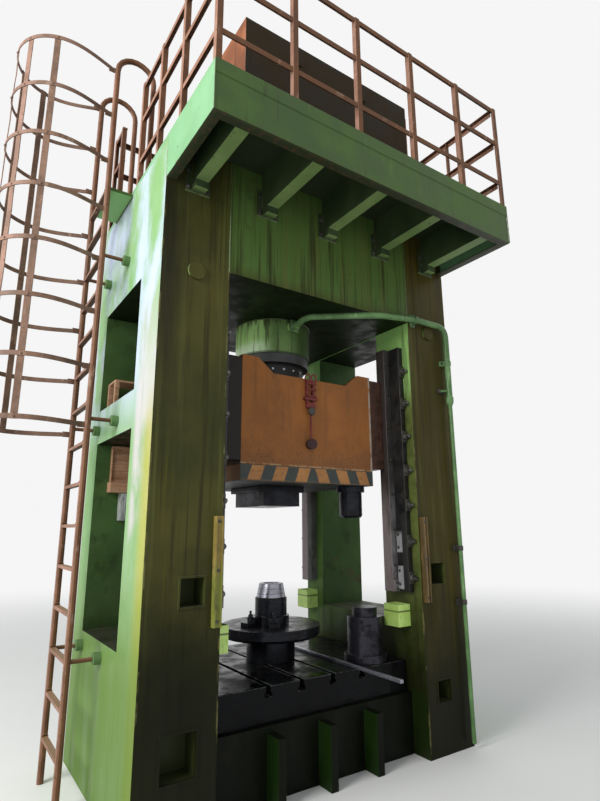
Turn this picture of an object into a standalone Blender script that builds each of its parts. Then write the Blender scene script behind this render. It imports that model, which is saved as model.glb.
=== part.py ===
"""Four-post hydraulic forming press with a roof walkway, a caged ladder and a guided slide.

Metres, +Z up, +X to the operator's right, the operator stands at -Y.
The origin is the centre of the frame's footprint, on the floor.
"""

import bmesh
import bpy
from math import cos, pi, radians, sin
from mathutils import Vector

# Shared clearances
GAP = 0.0003
OVERRUN = 0.02
WELD = 0.0012
RUNNING = 0.0006

# Facets
LARGE_SIDES = 40
MEDIUM_SIDES = 28
SMALL_SIDES = 16
BAR_SIDES = 10
HEXAGON = 6
BEND_STEPS = 5
SMOOTH_ANGLE = 38

# Frame
FRAME_WIDTH = 2.88
FRAME_DEPTH = 1.66
DECK_TOP = 4.60
DECK_PLATE = 0.04
LEG_WIDTH_SHARE = 13 / 72
FRONT_LEG_DEPTH = 0.437
REAR_LEG_DEPTH = 0.28
LEG_WALL = 0.045
LOW_SILL = 1.00
LOW_HEAD = 2.47
HIGH_SILL = 2.754
HIGH_HEAD = 3.619
AXIS_Y = 0.07

# Access pockets and round bosses on the front of the uprights
LOW_POCKET_Z = 0.47
LEFT_LOW_OFFSET = 0.01
LEFT_LOW_WIDTH = 0.22
LEFT_LOW_HEIGHT = 0.25
RIGHT_LOW_OFFSET = 0.06
RIGHT_LOW_WIDTH = 0.15
RIGHT_LOW_HEIGHT = 0.16
HIGH_POCKET_Z = 1.385
HIGH_OFFSET = 0.06
HIGH_POCKET_WIDTH = 0.16
HIGH_POCKET_HEIGHT = 0.17
POCKET_DEPTH = 0.16
POCKET_WALL = 0.012
POCKET_RIM = 0.014
POCKET_RIM_PROUD = 0.006
VENT_RADIUS = 0.06
VENT_Z = 0.47
BOSS_RADIUS = 0.065
BOSS_PROUD = 0.02
BOSS_Z = 3.565

# Crown
CROWN_EDGE = 3.625
CROWN_WALL = 0.06
CROWN_RIB = 0.035
CROWN_RIB_SHARE = 0.598

# Main cylinder and ram
CYLINDER_RADIUS = 0.352
CYLINDER_LOW = 3.225
CYLINDER_NOSE_TOP = 3.31
CYLINDER_NOSE_STEP = 0.014
CYLINDER_HEAD = 0.12
CYLINDER_COLLAR = 0.06
CYLINDER_COLLAR_HEIGHT = 0.08
RAM_RADIUS = 0.225
RAM_BORE = 0.15
RAM_FLOOR = 0.25
RAM_TOP = 4.30
RAM_FLANGE_RADIUS = 0.30
RAM_FLANGE_HEIGHT = 0.05
GLAND_RADIUS = 0.288
GLAND_HEIGHT = 0.12
GLAND_BOLTS = 16
GLAND_BOLT_RADIUS = 0.014
GLAND_BOLT_HEAD = 0.018
GLAND_BOLT_INSET = 0.026
RAM_BOLT_RADIUS = 0.018
RAM_BOLT_HEAD = 0.022
RAM_BOLTS = 12

# Slide
SLIDE_HALF_DEPTH = 0.6375
SLIDE_LOW = 2.25
SLIDE_TOP = 3.113
SLIDE_WALL = 0.045
SLIDE_FLOOR = 2.87
NOTCH_TOP_SHARE = 0.780
NOTCH_LOW_SHARE = 0.564
NOTCH_DEPTH = 0.114
LIGHTENING_RADIUS = 0.09
LIGHTENING_SHARE = 0.697
LIGHTENING_Y = 0.42
SLIDE_PLATE_HEIGHT = 0.125
SHOE_REACH = 0.14
SHOE_DEPTH = 0.14
SHOE_END = 0.025
SHOE_CHAMFER = 0.02

# Red lock fitting on the slide's front
LOCK_X = -0.02
LOCK_TOP = 2.985
LOCK_LENGTH = 0.24
LOCK_BAR = 0.022
LOCK_CROSS_BAR = 0.033
LOCK_CROSS_RISE = 0.066
LOCK_FOOT = 0.044
LOCK_SPREAD = 0.085
LOCK_ROD_RADIUS = 0.009
LOCK_ROD_LOW = 2.44
LOCK_KNOB_RADIUS = 0.042
LOCK_KNOB_DEPTH = 0.05

# Guides at the four corners
WAY_WIDTH = 0.12
WAY_DEPTH = 0.105
WAY_LOW = 1.24
WAY_TOP = 3.40
WAY_SET_OUT = 0.05
GIB_WIDTH = 0.055
GIB_FRONT_DEPTH = 0.125
GIB_REAR_DEPTH = 0.07
GIB_SCREWS = 7
GIB_SCREW_RADIUS = 0.016
GIB_SCREW_LENGTH = 0.045
GIB_SCREW_LOW = 0.115
GIB_SCREW_HIGH = 0.235
SHIM_COUNT = 2
GIB_SHIM = 0.012
GIB_SHIM_LENGTH = 0.19
GIB_SHIM_WIDTH = 0.05
GIB_SHIM_INSET = 0.012
PAN_HEIGHT = 0.175
PAN_DROP = 0.10
PAN_WALL = 0.006
PAN_REACH = 0.135
PAN_DEPTH = 0.175
PAN_PAST = 0.065

# Bed and bolster
BOLSTER_TOP = 0.695
BOLSTER_HEIGHT = 0.238
BOLSTER_SIDE_GAP = 0.02
BOLSTER_FRONT = -0.615
SLOT_PITCH = 0.285
SLOT_COUNT = 4
SLOT_NECK = 0.036
SLOT_HEAD = 0.060
SLOT_DEPTH = 0.072
SLOT_HEAD_HEIGHT = 0.028
BED_TOP_PLATE = 0.07
BED_WALL = 0.05
BED_RIB = 0.06
BED_RIB_PITCH = 0.43
BED_RIB_REACH = 0.15
BED_FOOT = 0.04
BED_WEB = 0.10
BED_DRAIN_RADIUS = 0.05

# Dies
DIE_BASE_RADIUS = 0.205
DIE_BASE_TOP = 0.885
DIE_DISC_RADIUS = 0.42
DIE_DISC_HEIGHT = 0.09
DIE_BODY_RADIUS = 0.137
DIE_BODY_HEIGHT = 0.215
DIE_BODY_STEP = 0.02
DIE_RING_HEIGHT = 0.115
DIE_RING_LOW_RADIUS = 0.126
DIE_RING_TOP_RADIUS = 0.104
DIE_RING_BORE = 0.07
CLAMP_LENGTH = 0.14
CLAMP_WIDTH = 0.09
CLAMP_HEIGHT = 0.075
CLAMP_TURN_SHARES = (0.53, 0.68)
UPPER_DIE_X = -0.05
UPPER_DIE_HALF_WIDTH = 0.23
UPPER_DIE_HALF_DEPTH = 0.26
UPPER_DIE_HEIGHT = 0.17
UPPER_DIE_LIP = 0.05
PUNCH_X_SHARE = 0.81
PUNCH_Y = -0.40
PUNCH_RADIUS = 0.10
PUNCH_HEIGHT = 0.27
PUNCH_FLANGE = 0.125
PUNCH_FLANGE_HEIGHT = 0.05
PUNCH_CHAMFER = 0.018
SPARE_SIDE_GAP = 0.005
SPARE_Y = -0.43
SPARE_FLANGE_SHARE = 0.2
SPARE_BODY_SHARE = 1 / 6
SPARE_FLANGE_HEIGHT = 0.06
SPARE_BODY_HEIGHT = 0.29
SPARE_NECK_RADIUS = 0.105
SPARE_NECK_HEIGHT = 0.07
BAR_X_SHARE = 0.4167
BAR_WIDTH = 0.03
BAR_HEIGHT = 0.025
BAR_REAR = 0.40
BAR_OVERHANG = 0.50

# Walkway
WALK_REACH = 0.79
FASCIA_HEIGHT = 0.37
FASCIA_PLATE = 0.014
FASCIA_FLANGE = 0.075
FASCIA_LAP = 0.105
FASCIA_LAP_PROUD = 0.004
BEAM_COUNT = 5
BEAM_END_INSET = 0.24
BEAM_WIDTH = 0.10
BEAM_WALL = 0.010
BEAM_CLEAT = 0.045
BEAM_CLEAT_HEIGHT = 0.16
BEAM_FOOT_HEIGHT = 0.06
BEAM_FOOT_DEPTH = 0.09

# Railings
RAIL_TOP = 1.035
RAIL_MID = 0.675
RAIL_LOW = 0.255
RAIL_LEG = 0.042
RAIL_THICK = 0.006
RAIL_INSET = 0.004
POST_COUNT = 6
LEFT_POST_Y = (-1.05, -0.57, -0.095)
RIGHT_POST_Y = (-1.05, -0.57, -0.095, 0.37)
REAR_SHORT_Y = 0.56

# Ladder and cage
STILE_REACH = 0.215
STILE_FRONT_Y = -0.02
STILE_REAR_Y = 0.515
STILE_RADIUS = 0.024
RUNG_PITCH = 0.30
RUNG_COUNT = 15
RUNG_FIRST = 0.31
RUNG_WIDTH = 0.04
RUNG_HEIGHT = 0.024
NECK_TOP = 5.70
NECK_RADIUS = 0.16
NECK_STEPS = 10
ARM_Z = (0.90, 2.58, 3.92)
ARM_RADIUS = 0.015
ARM_FOOT_RADIUS = 0.042
ARM_FOOT_LENGTH = 0.05
HOOP_COUNT = 8
HOOP_LOW = 2.53
HOOP_PITCH = 0.45
HOOP_RADIUS = 0.365
HOOP_OFFSET = 0.39
HOOP_HEIGHT = 0.036
HOOP_THICK = 0.007
HOOP_STEPS = 20
STRAP_WIDTH = 0.048
STRAP_THICK = 0.007
STRAP_ANGLES_SHARE = (0.10, 0.30, 0.50, 0.70, 0.90)
LANDING_PLATE = 0.03
LANDING_TOP = 4.56

# Tank on the roof
TANK_HALF_WIDTH = 0.95
TANK_X = 0.14
TANK_FRONT = -0.80
TANK_DEPTH = 0.62
TANK_HEIGHT = 1.42
TANK_WALL = 0.008
TANK_RUNNER = 0.06
TANK_LUG_RADIUS = 0.045
TANK_LUG_THICK = 0.016
TANK_LUG_DROP = 0.17
TANK_LUG_X_SHARE = (-0.42, 0.38)
FILLER_RADIUS = 0.045
FILLER_HEIGHT = 0.12
FILLER_LID_RADIUS = 0.034
FILLER_X_SHARE = -0.80

# Pipes
PIPE_RADIUS = 0.0275
PIPE_PORT_LEVEL = 3.56
PIPE_PASS_LEVEL = 3.59
PIPE_LEVEL = 3.648
PIPE_OUT = 0.20
PIPE_CLEARANCE = 0.006
PIPE_DOWN_INSET = 0.065
PIPE_BEND = 0.117
BEND_LIMIT_SHARE = 0.45
PIPE_PASS_SHARE = 0.55
PIPE_PORT_RADIUS = 0.052
PIPE_PORT_DEPTH = 0.04
PIPE_PORT_PAD = 0.02
PIPE_REDUCER_Z = 2.93
DRAIN_RADIUS = 0.018
DRAIN_LOW = 0.05
PIPE_CLAMP_WIDTH = 0.05
PIPE_CLAMP_HEIGHT = 0.06
PIPE_HIGH_CLAMP_Z = 3.10
PIPE_LOW_CLAMP_Z = 0.95
PIPE_COLLAR_RADIUS = 0.034

# Guard bars and small fittings on the uprights
GUARD_INSET = 0.04
GUARD_WIDTH = 0.055
GUARD_DEPTH = 0.045
GUARD_LIP = 0.011
GUARD_LOW = 1.165
GUARD_HEIGHT = 0.69
SHELF_WIDTH = 0.30
SHELF_DEPTH = 0.22
SHELF_HEIGHT = 0.24
SHELF_BAR = 0.035
PANEL_WIDTH = 0.28
PANEL_HEIGHT = 0.31
PANEL_DEPTH = 0.03
PANEL_LOW = 2.155
PANEL_LEDGE = 0.085
PANEL_LEDGE_REACH = 0.10
PANEL_SIDE = 0.12
JUNCTION_WIDTH = 0.20
JUNCTION_HEIGHT = 0.23
JUNCTION_DEPTH = 0.09

# Worked-out places
HALF_WIDTH = FRAME_WIDTH / 2
HALF_DEPTH = FRAME_DEPTH / 2
LEG_WIDTH = LEG_WIDTH_SHARE * FRAME_WIDTH
LEG_INNER = HALF_WIDTH - LEG_WIDTH
BOSS_X = LEG_INNER + LEG_WIDTH / 2
CROWN_RIB_X = CROWN_RIB_SHARE * LEG_INNER
SLIDE_HALF_WIDTH = LEG_INNER - WAY_WIDTH - SHOE_REACH
NOTCH_TOP_HALF = NOTCH_TOP_SHARE * SLIDE_HALF_WIDTH
NOTCH_LOW_HALF = NOTCH_LOW_SHARE * SLIDE_HALF_WIDTH
LIGHTENING_X = LIGHTENING_SHARE * SLIDE_HALF_WIDTH
PUNCH_X = PUNCH_X_SHARE * SLIDE_HALF_WIDTH
BOLSTER_HALF_WIDTH = LEG_INNER - BOLSTER_SIDE_GAP
SPARE_FLANGE_RADIUS = SPARE_FLANGE_SHARE * BOLSTER_HALF_WIDTH
SPARE_RADIUS = SPARE_BODY_SHARE * BOLSTER_HALF_WIDTH
SPARE_X = LEG_INNER - PAN_REACH - SPARE_SIDE_GAP - SPARE_RADIUS
BAR_X = BAR_X_SHARE * BOLSTER_HALF_WIDTH
BEAM_PITCH = 2 * (HALF_WIDTH - BEAM_END_INSET) / (BEAM_COUNT - 1)
STILE_X = -HALF_WIDTH - STILE_REACH
HOOP_CENTRE_X = STILE_X - HOOP_OFFSET
PIPE_DOWN_X = HALF_WIDTH - PIPE_DOWN_INSET
PIPE_PASS_X = PIPE_PASS_SHARE * LEG_INNER
GUARD_X = LEG_INNER + GUARD_INSET
FRAME_TOP = DECK_TOP - DECK_PLATE - GAP
WINDOW_FRONT = FRONT_LEG_DEPTH - HALF_DEPTH
WINDOW_REAR = HALF_DEPTH - REAR_LEG_DEPTH
SLIDE_FRONT = AXIS_Y - SLIDE_HALF_DEPTH
SLIDE_REAR = AXIS_Y + SLIDE_HALF_DEPTH
SLIDE_PLATE_LOW = SLIDE_LOW - GAP - SLIDE_PLATE_HEIGHT
WAY_FACE = LEG_INNER - GAP - WAY_WIDTH
BOLSTER_LOW = BOLSTER_TOP - BOLSTER_HEIGHT
BOLSTER_REAR = 2 * AXIS_Y - BOLSTER_FRONT
BED_TOP = BOLSTER_LOW - GAP
WALK_FRONT = -HALF_DEPTH - WALK_REACH
FASCIA_LOW = DECK_TOP - FASCIA_HEIGHT
BEAM_TOP = DECK_TOP - DECK_PLATE - GAP
BEAM_LOW = FASCIA_LOW + FASCIA_PLATE + GAP
GLAND_LOW = CYLINDER_LOW - GAP - GLAND_HEIGHT
RAIL_Z = (DECK_TOP + RAIL_LOW, DECK_TOP + RAIL_MID, DECK_TOP + RAIL_TOP)
NECK_INNER_X = STILE_X + 2 * NECK_RADIUS
PIPE_STAND_OFF = BOSS_PROUD + PIPE_CLEARANCE
PIPE_Y = -HALF_DEPTH - PIPE_STAND_OFF - PIPE_RADIUS

MATERIALS = {
    "frame_green": ((0.115, 0.27, 0.05), 0.38, 0.0),
    "walkway_green": ((0.10, 0.26, 0.055), 0.42, 0.0),
    "cylinder_green": ((0.10, 0.28, 0.055), 0.40, 0.0),
    "pipe_green": ((0.16, 0.34, 0.10), 0.42, 0.0),
    "pan_green": ((0.34, 0.47, 0.07), 0.45, 0.0),
    "slide_orange": ((0.33, 0.115, 0.022), 0.55, 0.0),
    "rail_orange": ((0.36, 0.13, 0.05), 0.55, 0.0),
    "tank_brown": ((0.105, 0.062, 0.038), 0.60, 0.0),
    "lock_red": ((0.22, 0.025, 0.03), 0.50, 0.0),
    "dark_gib": ((0.018, 0.019, 0.018), 0.55, 0.0),
    "way_steel": ((0.42, 0.38, 0.36), 0.36, 1.0),
    "ram_chrome": ((0.48, 0.48, 0.47), 0.18, 1.0),
    "gland_steel": ((0.12, 0.12, 0.11), 0.42, 1.0),
    "bolster_steel": ((0.075, 0.082, 0.084), 0.40, 1.0),
    "die_steel": ((0.055, 0.062, 0.07), 0.42, 1.0),
    "ring_steel": ((0.62, 0.63, 0.64), 0.22, 1.0),
    "plate_dark": ((0.035, 0.038, 0.034), 0.50, 0.0),
    "box_grey": ((0.36, 0.37, 0.36), 0.45, 0.0),
    "guard_orange": ((0.36, 0.16, 0.035), 0.50, 0.0),
}


def start_empty():
    for item in list(bpy.data.objects):
        bpy.data.objects.remove(item, do_unlink=True)


def material(slot):
    found = bpy.data.materials.get(slot)
    if found:
        return found
    colour, roughness, metallic = MATERIALS[slot]
    made = bpy.data.materials.new(slot)
    made.use_nodes = True
    shader = made.node_tree.nodes["Principled BSDF"]
    shader.inputs["Base Color"].default_value = (*colour, 1.0)
    shader.inputs["Roughness"].default_value = roughness
    shader.inputs["Metallic"].default_value = metallic
    return made


def from_bmesh(shape):
    shape.normal_update()
    bmesh.ops.recalc_face_normals(shape, faces=shape.faces)
    mesh = bpy.data.meshes.new("shape")
    shape.to_mesh(mesh)
    shape.free()
    piece = bpy.data.objects.new("shape", mesh)
    bpy.context.scene.collection.objects.link(piece)
    return piece


def box(low, high):
    """An upright block between two opposite corners, given in any order."""
    shape = bmesh.new()
    bmesh.ops.create_cube(shape, size=1.0)
    low, high = Vector(low), Vector(high)
    for corner in shape.verts:
        share = corner.co + Vector((0.5, 0.5, 0.5))
        corner.co = Vector(a + (b - a) * s for a, b, s in zip(low, high, share))
    return from_bmesh(shape)


def prism(outline, axis, start, end):
    """An outline in the two axes after AXIS, in their X-Y-Z order, drawn out along AXIS."""
    shape = bmesh.new()
    others = [k for k in range(3) if k != axis]
    corners = []
    for first, second in outline:
        place = [0, 0, 0]
        place[others[0]], place[others[1]], place[axis] = first, second, start
        corners.append(shape.verts.new(place))
    base = shape.faces.new(corners)
    drawn = bmesh.ops.extrude_face_region(shape, geom=[base])
    travel = Vector([0, 0, 0])
    travel[axis] = end - start
    tops = [v for v in drawn["geom"] if isinstance(v, bmesh.types.BMVert)]
    bmesh.ops.translate(shape, verts=tops, vec=travel)
    return from_bmesh(shape)


def turned(profile, centre, sides):
    """A closed (radius, z) profile turned about the vertical line through CENTRE."""
    shape = bmesh.new()
    rings = []
    for radius, height in profile:
        if radius == 0:
            rings.append([shape.verts.new((centre[0], centre[1], height))])
            continue
        ring = []
        for k in range(sides):
            turn = 2 * pi * k / sides
            ring.append(shape.verts.new((
                centre[0] + radius * cos(turn),
                centre[1] + radius * sin(turn),
                height,
            )))
        rings.append(ring)
    for lower, upper in zip(rings, rings[1:] + rings[:1]):
        for k in range(sides):
            following = (k + 1) % sides
            corners = [lower[k % len(lower)], lower[following % len(lower)]]
            corners += [upper[following % len(upper)], upper[k % len(upper)]]
            unique = list(dict.fromkeys(corners))
            if len(unique) > 2:
                shape.faces.new(unique)
    return from_bmesh(shape)


def drum(radius, low, high, centre, sides):
    return turned([(0, low), (radius, low), (radius, high), (0, high)], centre, sides)


def lying_drum(radius, start, end, sides, axis):
    """A round bar between two points that differ along one axis only."""
    shape = [(radius * cos(2 * pi * k / sides), radius * sin(2 * pi * k / sides)) for k in range(sides)]
    others = [k for k in range(3) if k != axis]
    outline = [(start[others[0]] + u, start[others[1]] + v) for u, v in shape]
    return prism(outline, axis, start[axis], end[axis])


def sweep(path, outline, up):
    """Draw OUTLINE along the points of PATH; its second axis starts towards UP and never twists."""
    shape = bmesh.new()
    path = [Vector(p) for p in path]
    rings = []
    up = Vector(up)
    for k, point in enumerate(path):
        before = (point - path[k - 1]).normalized() if k > 0 else None
        after = (path[k + 1] - point).normalized() if k < len(path) - 1 else None
        if before is None or after is None:
            along = before or after
            stretch = 1.0
        else:
            along = (before + after).normalized()
            stretch = 1 / max(along.dot(after), 0.5)
        up = (up - along * up.dot(along)).normalized()
        side = along.cross(up)
        rings.append([shape.verts.new(point + side * u * stretch + up * v) for u, v in outline])
    count = len(outline)
    for lower, upper in zip(rings, rings[1:]):
        for k in range(count):
            following = (k + 1) % count
            shape.faces.new((lower[k], lower[following], upper[following], upper[k]))
    shape.faces.new(rings[0])
    shape.faces.new(rings[-1])
    return from_bmesh(shape)


def round_outline(radius, sides):
    return [(radius * cos(2 * pi * k / sides), radius * sin(2 * pi * k / sides)) for k in range(sides)]


def rounded(path, radius, steps):
    """The points of PATH with each inner corner replaced by a bend of RADIUS, or less on a short run."""
    path = [Vector(p) for p in path]
    points = [path[0]]
    for before, corner, after in zip(path, path[1:], path[2:]):
        shorter = min((before - corner).length, (after - corner).length)
        reach = min(radius, shorter * BEND_LIMIT_SHARE)
        start = corner + (before - corner).normalized() * reach
        end = corner + (after - corner).normalized() * reach
        for k in range(steps + 1):
            s = k / steps
            points.append(start * (1 - s) ** 2 + corner * 2 * s * (1 - s) + end * s ** 2)
    points.append(path[-1])
    return points


def combine(target, tool, operation):
    change = target.modifiers.new("combine", "BOOLEAN")
    change.operation = operation
    change.solver = "EXACT"
    change.object = tool
    bpy.context.view_layer.update()
    evaluated = target.evaluated_get(bpy.context.evaluated_depsgraph_get())
    mesh = bpy.data.meshes.new_from_object(evaluated)
    target.modifiers.clear()
    target.data = mesh
    bpy.data.objects.remove(tool, do_unlink=True)
    return target


def cut(target, *tools):
    for tool in tools:
        combine(target, tool, "DIFFERENCE")
    return target


def unite(target, *tools):
    for tool in tools:
        combine(target, tool, "UNION")
    return target


def finish(piece, name, slot, smooth=None, parent=None):
    piece.name = name
    piece.data.name = name
    piece.data.materials.clear()
    piece.data.materials.append(material(slot))
    if smooth:
        piece.data.shade_smooth()
        piece.data.set_sharp_from_angle(angle=radians(smooth))
    if parent:
        piece.parent = parent
        piece.location = piece.location - parent.location
    return piece


# Uprights, crown and bed


def pocket_rim(x, z, width, height):
    face = -HALF_DEPTH
    return box(
        (x - width / 2 - POCKET_RIM, face - POCKET_RIM_PROUD, z - height / 2 - POCKET_RIM),
        (x + width / 2 + POCKET_RIM, face + LEG_WALL / 2, z + height / 2 + POCKET_RIM),
    )


def pocket_liner(x, z, width, height):
    """The box welded behind the leg's front plate that closes a pocket at its back."""
    face = -HALF_DEPTH
    return box(
        (x - width / 2 - POCKET_WALL, face + LEG_WALL / 2, z - height / 2 - POCKET_WALL),
        (x + width / 2 + POCKET_WALL, face + POCKET_DEPTH + POCKET_WALL, z + height / 2 + POCKET_WALL),
    )


def pocket_hole(x, z, width, height):
    face = -HALF_DEPTH
    return box(
        (x - width / 2, face - OVERRUN, z - height / 2),
        (x + width / 2, face + POCKET_DEPTH, z + height / 2),
    )


def upright(name, side):
    """A hollow plate column: a front leg and a rear leg tied above, between and below two windows."""
    inner, outer = side * LEG_INNER, side * HALF_WIDTH
    body = box((inner, -HALF_DEPTH, 0), (outer, HALF_DEPTH, FRAME_TOP))
    wall = side * LEG_WALL
    over = side * OVERRUN
    cavity = box(
        (inner + wall, LEG_WALL - HALF_DEPTH, LEG_WALL),
        (outer - wall, HALF_DEPTH - LEG_WALL, FRAME_TOP - LEG_WALL),
    )
    for sill, head in ((LOW_SILL, LOW_HEAD), (HIGH_SILL, HIGH_HEAD)):
        cut(cavity, box(
            (inner, WINDOW_FRONT - LEG_WALL, sill - LEG_WALL),
            (outer, WINDOW_REAR + LEG_WALL, head + LEG_WALL),
        ))
        cut(body, box((inner - over, WINDOW_FRONT, sill), (outer + over, WINDOW_REAR, head)))
    low = (RIGHT_LOW_OFFSET, RIGHT_LOW_WIDTH, RIGHT_LOW_HEIGHT)
    if side < 0:
        low = (LEFT_LOW_OFFSET, LEFT_LOW_WIDTH, LEFT_LOW_HEIGHT)
    offset, width, height = low
    pockets = (
        (side * (BOSS_X - offset), LOW_POCKET_Z, width, height),
        (side * (BOSS_X - HIGH_OFFSET), HIGH_POCKET_Z, HIGH_POCKET_WIDTH, HIGH_POCKET_HEIGHT),
    )
    for pocket in pockets:
        unite(body, pocket_rim(*pocket))
    cut(body, cavity)
    for pocket in pockets:
        unite(body, pocket_liner(*pocket))
        cut(body, pocket_hole(*pocket))
    boss_x = side * BOSS_X
    vent = lying_drum(
        VENT_RADIUS,
        (boss_x, HALF_DEPTH - LEG_WALL - OVERRUN, VENT_Z),
        (boss_x, HALF_DEPTH + OVERRUN, VENT_Z),
        MEDIUM_SIDES, 1,
    )
    cut(body, vent)
    boss = lying_drum(
        BOSS_RADIUS,
        (boss_x, -HALF_DEPTH - BOSS_PROUD, BOSS_Z),
        (boss_x, -HALF_DEPTH + LEG_WALL / 2, BOSS_Z),
        MEDIUM_SIDES, 1,
    )
    unite(body, boss)
    return finish(body, name, "frame_green")


def crown():
    """The head between the uprights: a hollow beam, open at its ends, that holds the cylinder."""
    half = LEG_INNER - GAP
    body = box((-half, -HALF_DEPTH, CROWN_EDGE), (half, HALF_DEPTH, FRAME_TOP))
    inside = HALF_DEPTH - CROWN_WALL
    past = half + OVERRUN
    floor = CROWN_EDGE + CROWN_WALL
    bays = (
        (-past, -CROWN_RIB_X - CROWN_RIB / 2),
        (CROWN_RIB / 2 - CROWN_RIB_X, CROWN_RIB_X - CROWN_RIB / 2),
        (CROWN_RIB_X + CROWN_RIB / 2, past),
    )
    for start, end in bays:
        cut(body, box((start, -inside, floor), (end, inside, FRAME_TOP - CROWN_WALL)))
    bore = drum(
        CYLINDER_RADIUS + GAP,
        CROWN_EDGE - OVERRUN,
        CROWN_EDGE + CROWN_WALL + OVERRUN,
        (0, AXIS_Y), LARGE_SIDES,
    )
    cut(body, bore)
    return finish(body, "crown", "frame_green")


def bed():
    """The ribbed base under the bolster: two hollows with a drain hole each, either side of a web."""
    half = LEG_INNER - GAP
    front = BOLSTER_FRONT - BED_FOOT
    rear = HALF_DEPTH - BED_RIB_REACH
    body = box((-half, front, 0), (half, rear, BED_TOP))
    for side in (-1, 1):
        cut(body, box(
            (side * BED_WEB / 2, front + BED_WALL, BED_WALL),
            (side * (half - BED_WALL), rear - BED_WALL, BED_TOP - BED_TOP_PLATE),
        ))
        place = (side * half / 2, AXIS_Y)
        cut(body, drum(BED_DRAIN_RADIUS, -OVERRUN, BED_WALL + OVERRUN, place, SMALL_SIDES))
    for k in (-1, 0, 1):
        x = k * BED_RIB_PITCH
        reaches = ((front - BED_RIB_REACH, front + WELD), (rear - WELD, rear + BED_RIB_REACH - GAP))
        for start, end in reaches:
            unite(body, box((x - BED_RIB / 2, start, 0), (x + BED_RIB / 2, end, BED_TOP - BED_FOOT)))
    return finish(body, "bed", "frame_green")


def slot_outline(x):
    """Half of the bolster's top edge over one T-slot, from left to right."""
    neck, head = SLOT_NECK / 2, SLOT_HEAD / 2
    floor = BOLSTER_TOP - SLOT_DEPTH
    shoulder = floor + SLOT_HEAD_HEIGHT
    return [
        (x - neck, BOLSTER_TOP), (x - neck, shoulder), (x - head, shoulder), (x - head, floor),
        (x + head, floor), (x + head, shoulder), (x + neck, shoulder), (x + neck, BOLSTER_TOP),
    ]


def slot_places():
    return [(k - (SLOT_COUNT - 1) / 2) * SLOT_PITCH for k in range(SLOT_COUNT)]


def bolster():
    outline = [(-BOLSTER_HALF_WIDTH, BOLSTER_LOW), (-BOLSTER_HALF_WIDTH, BOLSTER_TOP)]
    for x in slot_places():
        outline += slot_outline(x)
    outline += [(BOLSTER_HALF_WIDTH, BOLSTER_TOP), (BOLSTER_HALF_WIDTH, BOLSTER_LOW)]
    return finish(prism(outline, 1, BOLSTER_FRONT, BOLSTER_REAR), "bolster", "bolster_steel")


# Main cylinder, ram and slide


def main_cylinder():
    """A closed tube whose collar bears on the crown's underside plate from above."""
    top = FRAME_TOP - CROWN_WALL - GAP
    seat = CROWN_EDGE + CROWN_WALL + GAP
    collar = CYLINDER_RADIUS + CYLINDER_COLLAR
    bore = RAM_RADIUS + RUNNING
    nose = CYLINDER_RADIUS - CYLINDER_NOSE_STEP
    profile = [
        (0, top - CYLINDER_HEAD), (bore, top - CYLINDER_HEAD), (bore, CYLINDER_LOW),
        (nose, CYLINDER_LOW), (nose, CYLINDER_NOSE_TOP), (CYLINDER_RADIUS, CYLINDER_NOSE_TOP),
        (CYLINDER_RADIUS, seat), (collar, seat),
        (collar, seat + CYLINDER_COLLAR_HEIGHT), (CYLINDER_RADIUS, seat + CYLINDER_COLLAR_HEIGHT),
        (CYLINDER_RADIUS, top), (0, top),
    ]
    body = turned(profile, (0, AXIS_Y), LARGE_SIDES)
    front = AXIS_Y - CYLINDER_RADIUS
    unite(body, lying_drum(
        PIPE_PORT_RADIUS,
        (0, front + PIPE_PORT_DEPTH, PIPE_PORT_LEVEL),
        (0, front - PIPE_PORT_PAD, PIPE_PORT_LEVEL),
        SMALL_SIDES, 1,
    ))
    return finish(body, "main_cylinder", "cylinder_green", SMOOTH_ANGLE)


def bolt_circle(body, count, pitch_radius, radius, low, high):
    for k in range(count):
        turn = 2 * pi * (k + 0.5) / count
        centre = (pitch_radius * cos(turn), AXIS_Y + pitch_radius * sin(turn))
        unite(body, drum(radius, low, high, centre, HEXAGON))
    return body


def gland_ring():
    bore = RAM_RADIUS + RUNNING
    top = CYLINDER_LOW - GAP
    profile = [(bore, GLAND_LOW), (GLAND_RADIUS, GLAND_LOW), (GLAND_RADIUS, top), (bore, top)]
    body = turned(profile, (0, AXIS_Y), LARGE_SIDES)
    bolt_circle(
        body, GLAND_BOLTS, GLAND_RADIUS - GLAND_BOLT_INSET, GLAND_BOLT_RADIUS,
        GLAND_LOW - GLAND_BOLT_HEAD, GLAND_LOW + WELD,
    )
    return finish(body, "gland_ring", "gland_steel", SMOOTH_ANGLE)


def ram(carriage):
    """The hollow plunger, open above, with its bolted flange on the slide's inner floor."""
    low = SLIDE_FLOOR + GAP
    flange_top = low + RAM_FLANGE_HEIGHT
    profile = [
        (0, low), (RAM_FLANGE_RADIUS, low), (RAM_FLANGE_RADIUS, flange_top), (RAM_RADIUS, flange_top),
        (RAM_RADIUS, RAM_TOP), (RAM_BORE, RAM_TOP), (RAM_BORE, low + RAM_FLOOR), (0, low + RAM_FLOOR),
    ]
    body = turned(profile, (0, AXIS_Y), LARGE_SIDES)
    pitch_radius = (RAM_RADIUS + RAM_FLANGE_RADIUS) / 2
    bolt_circle(
        body, RAM_BOLTS, pitch_radius, RAM_BOLT_RADIUS,
        flange_top - WELD, flange_top + RAM_BOLT_HEAD,
    )
    return finish(body, "ram", "ram_chrome", SMOOTH_ANGLE, carriage)


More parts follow.
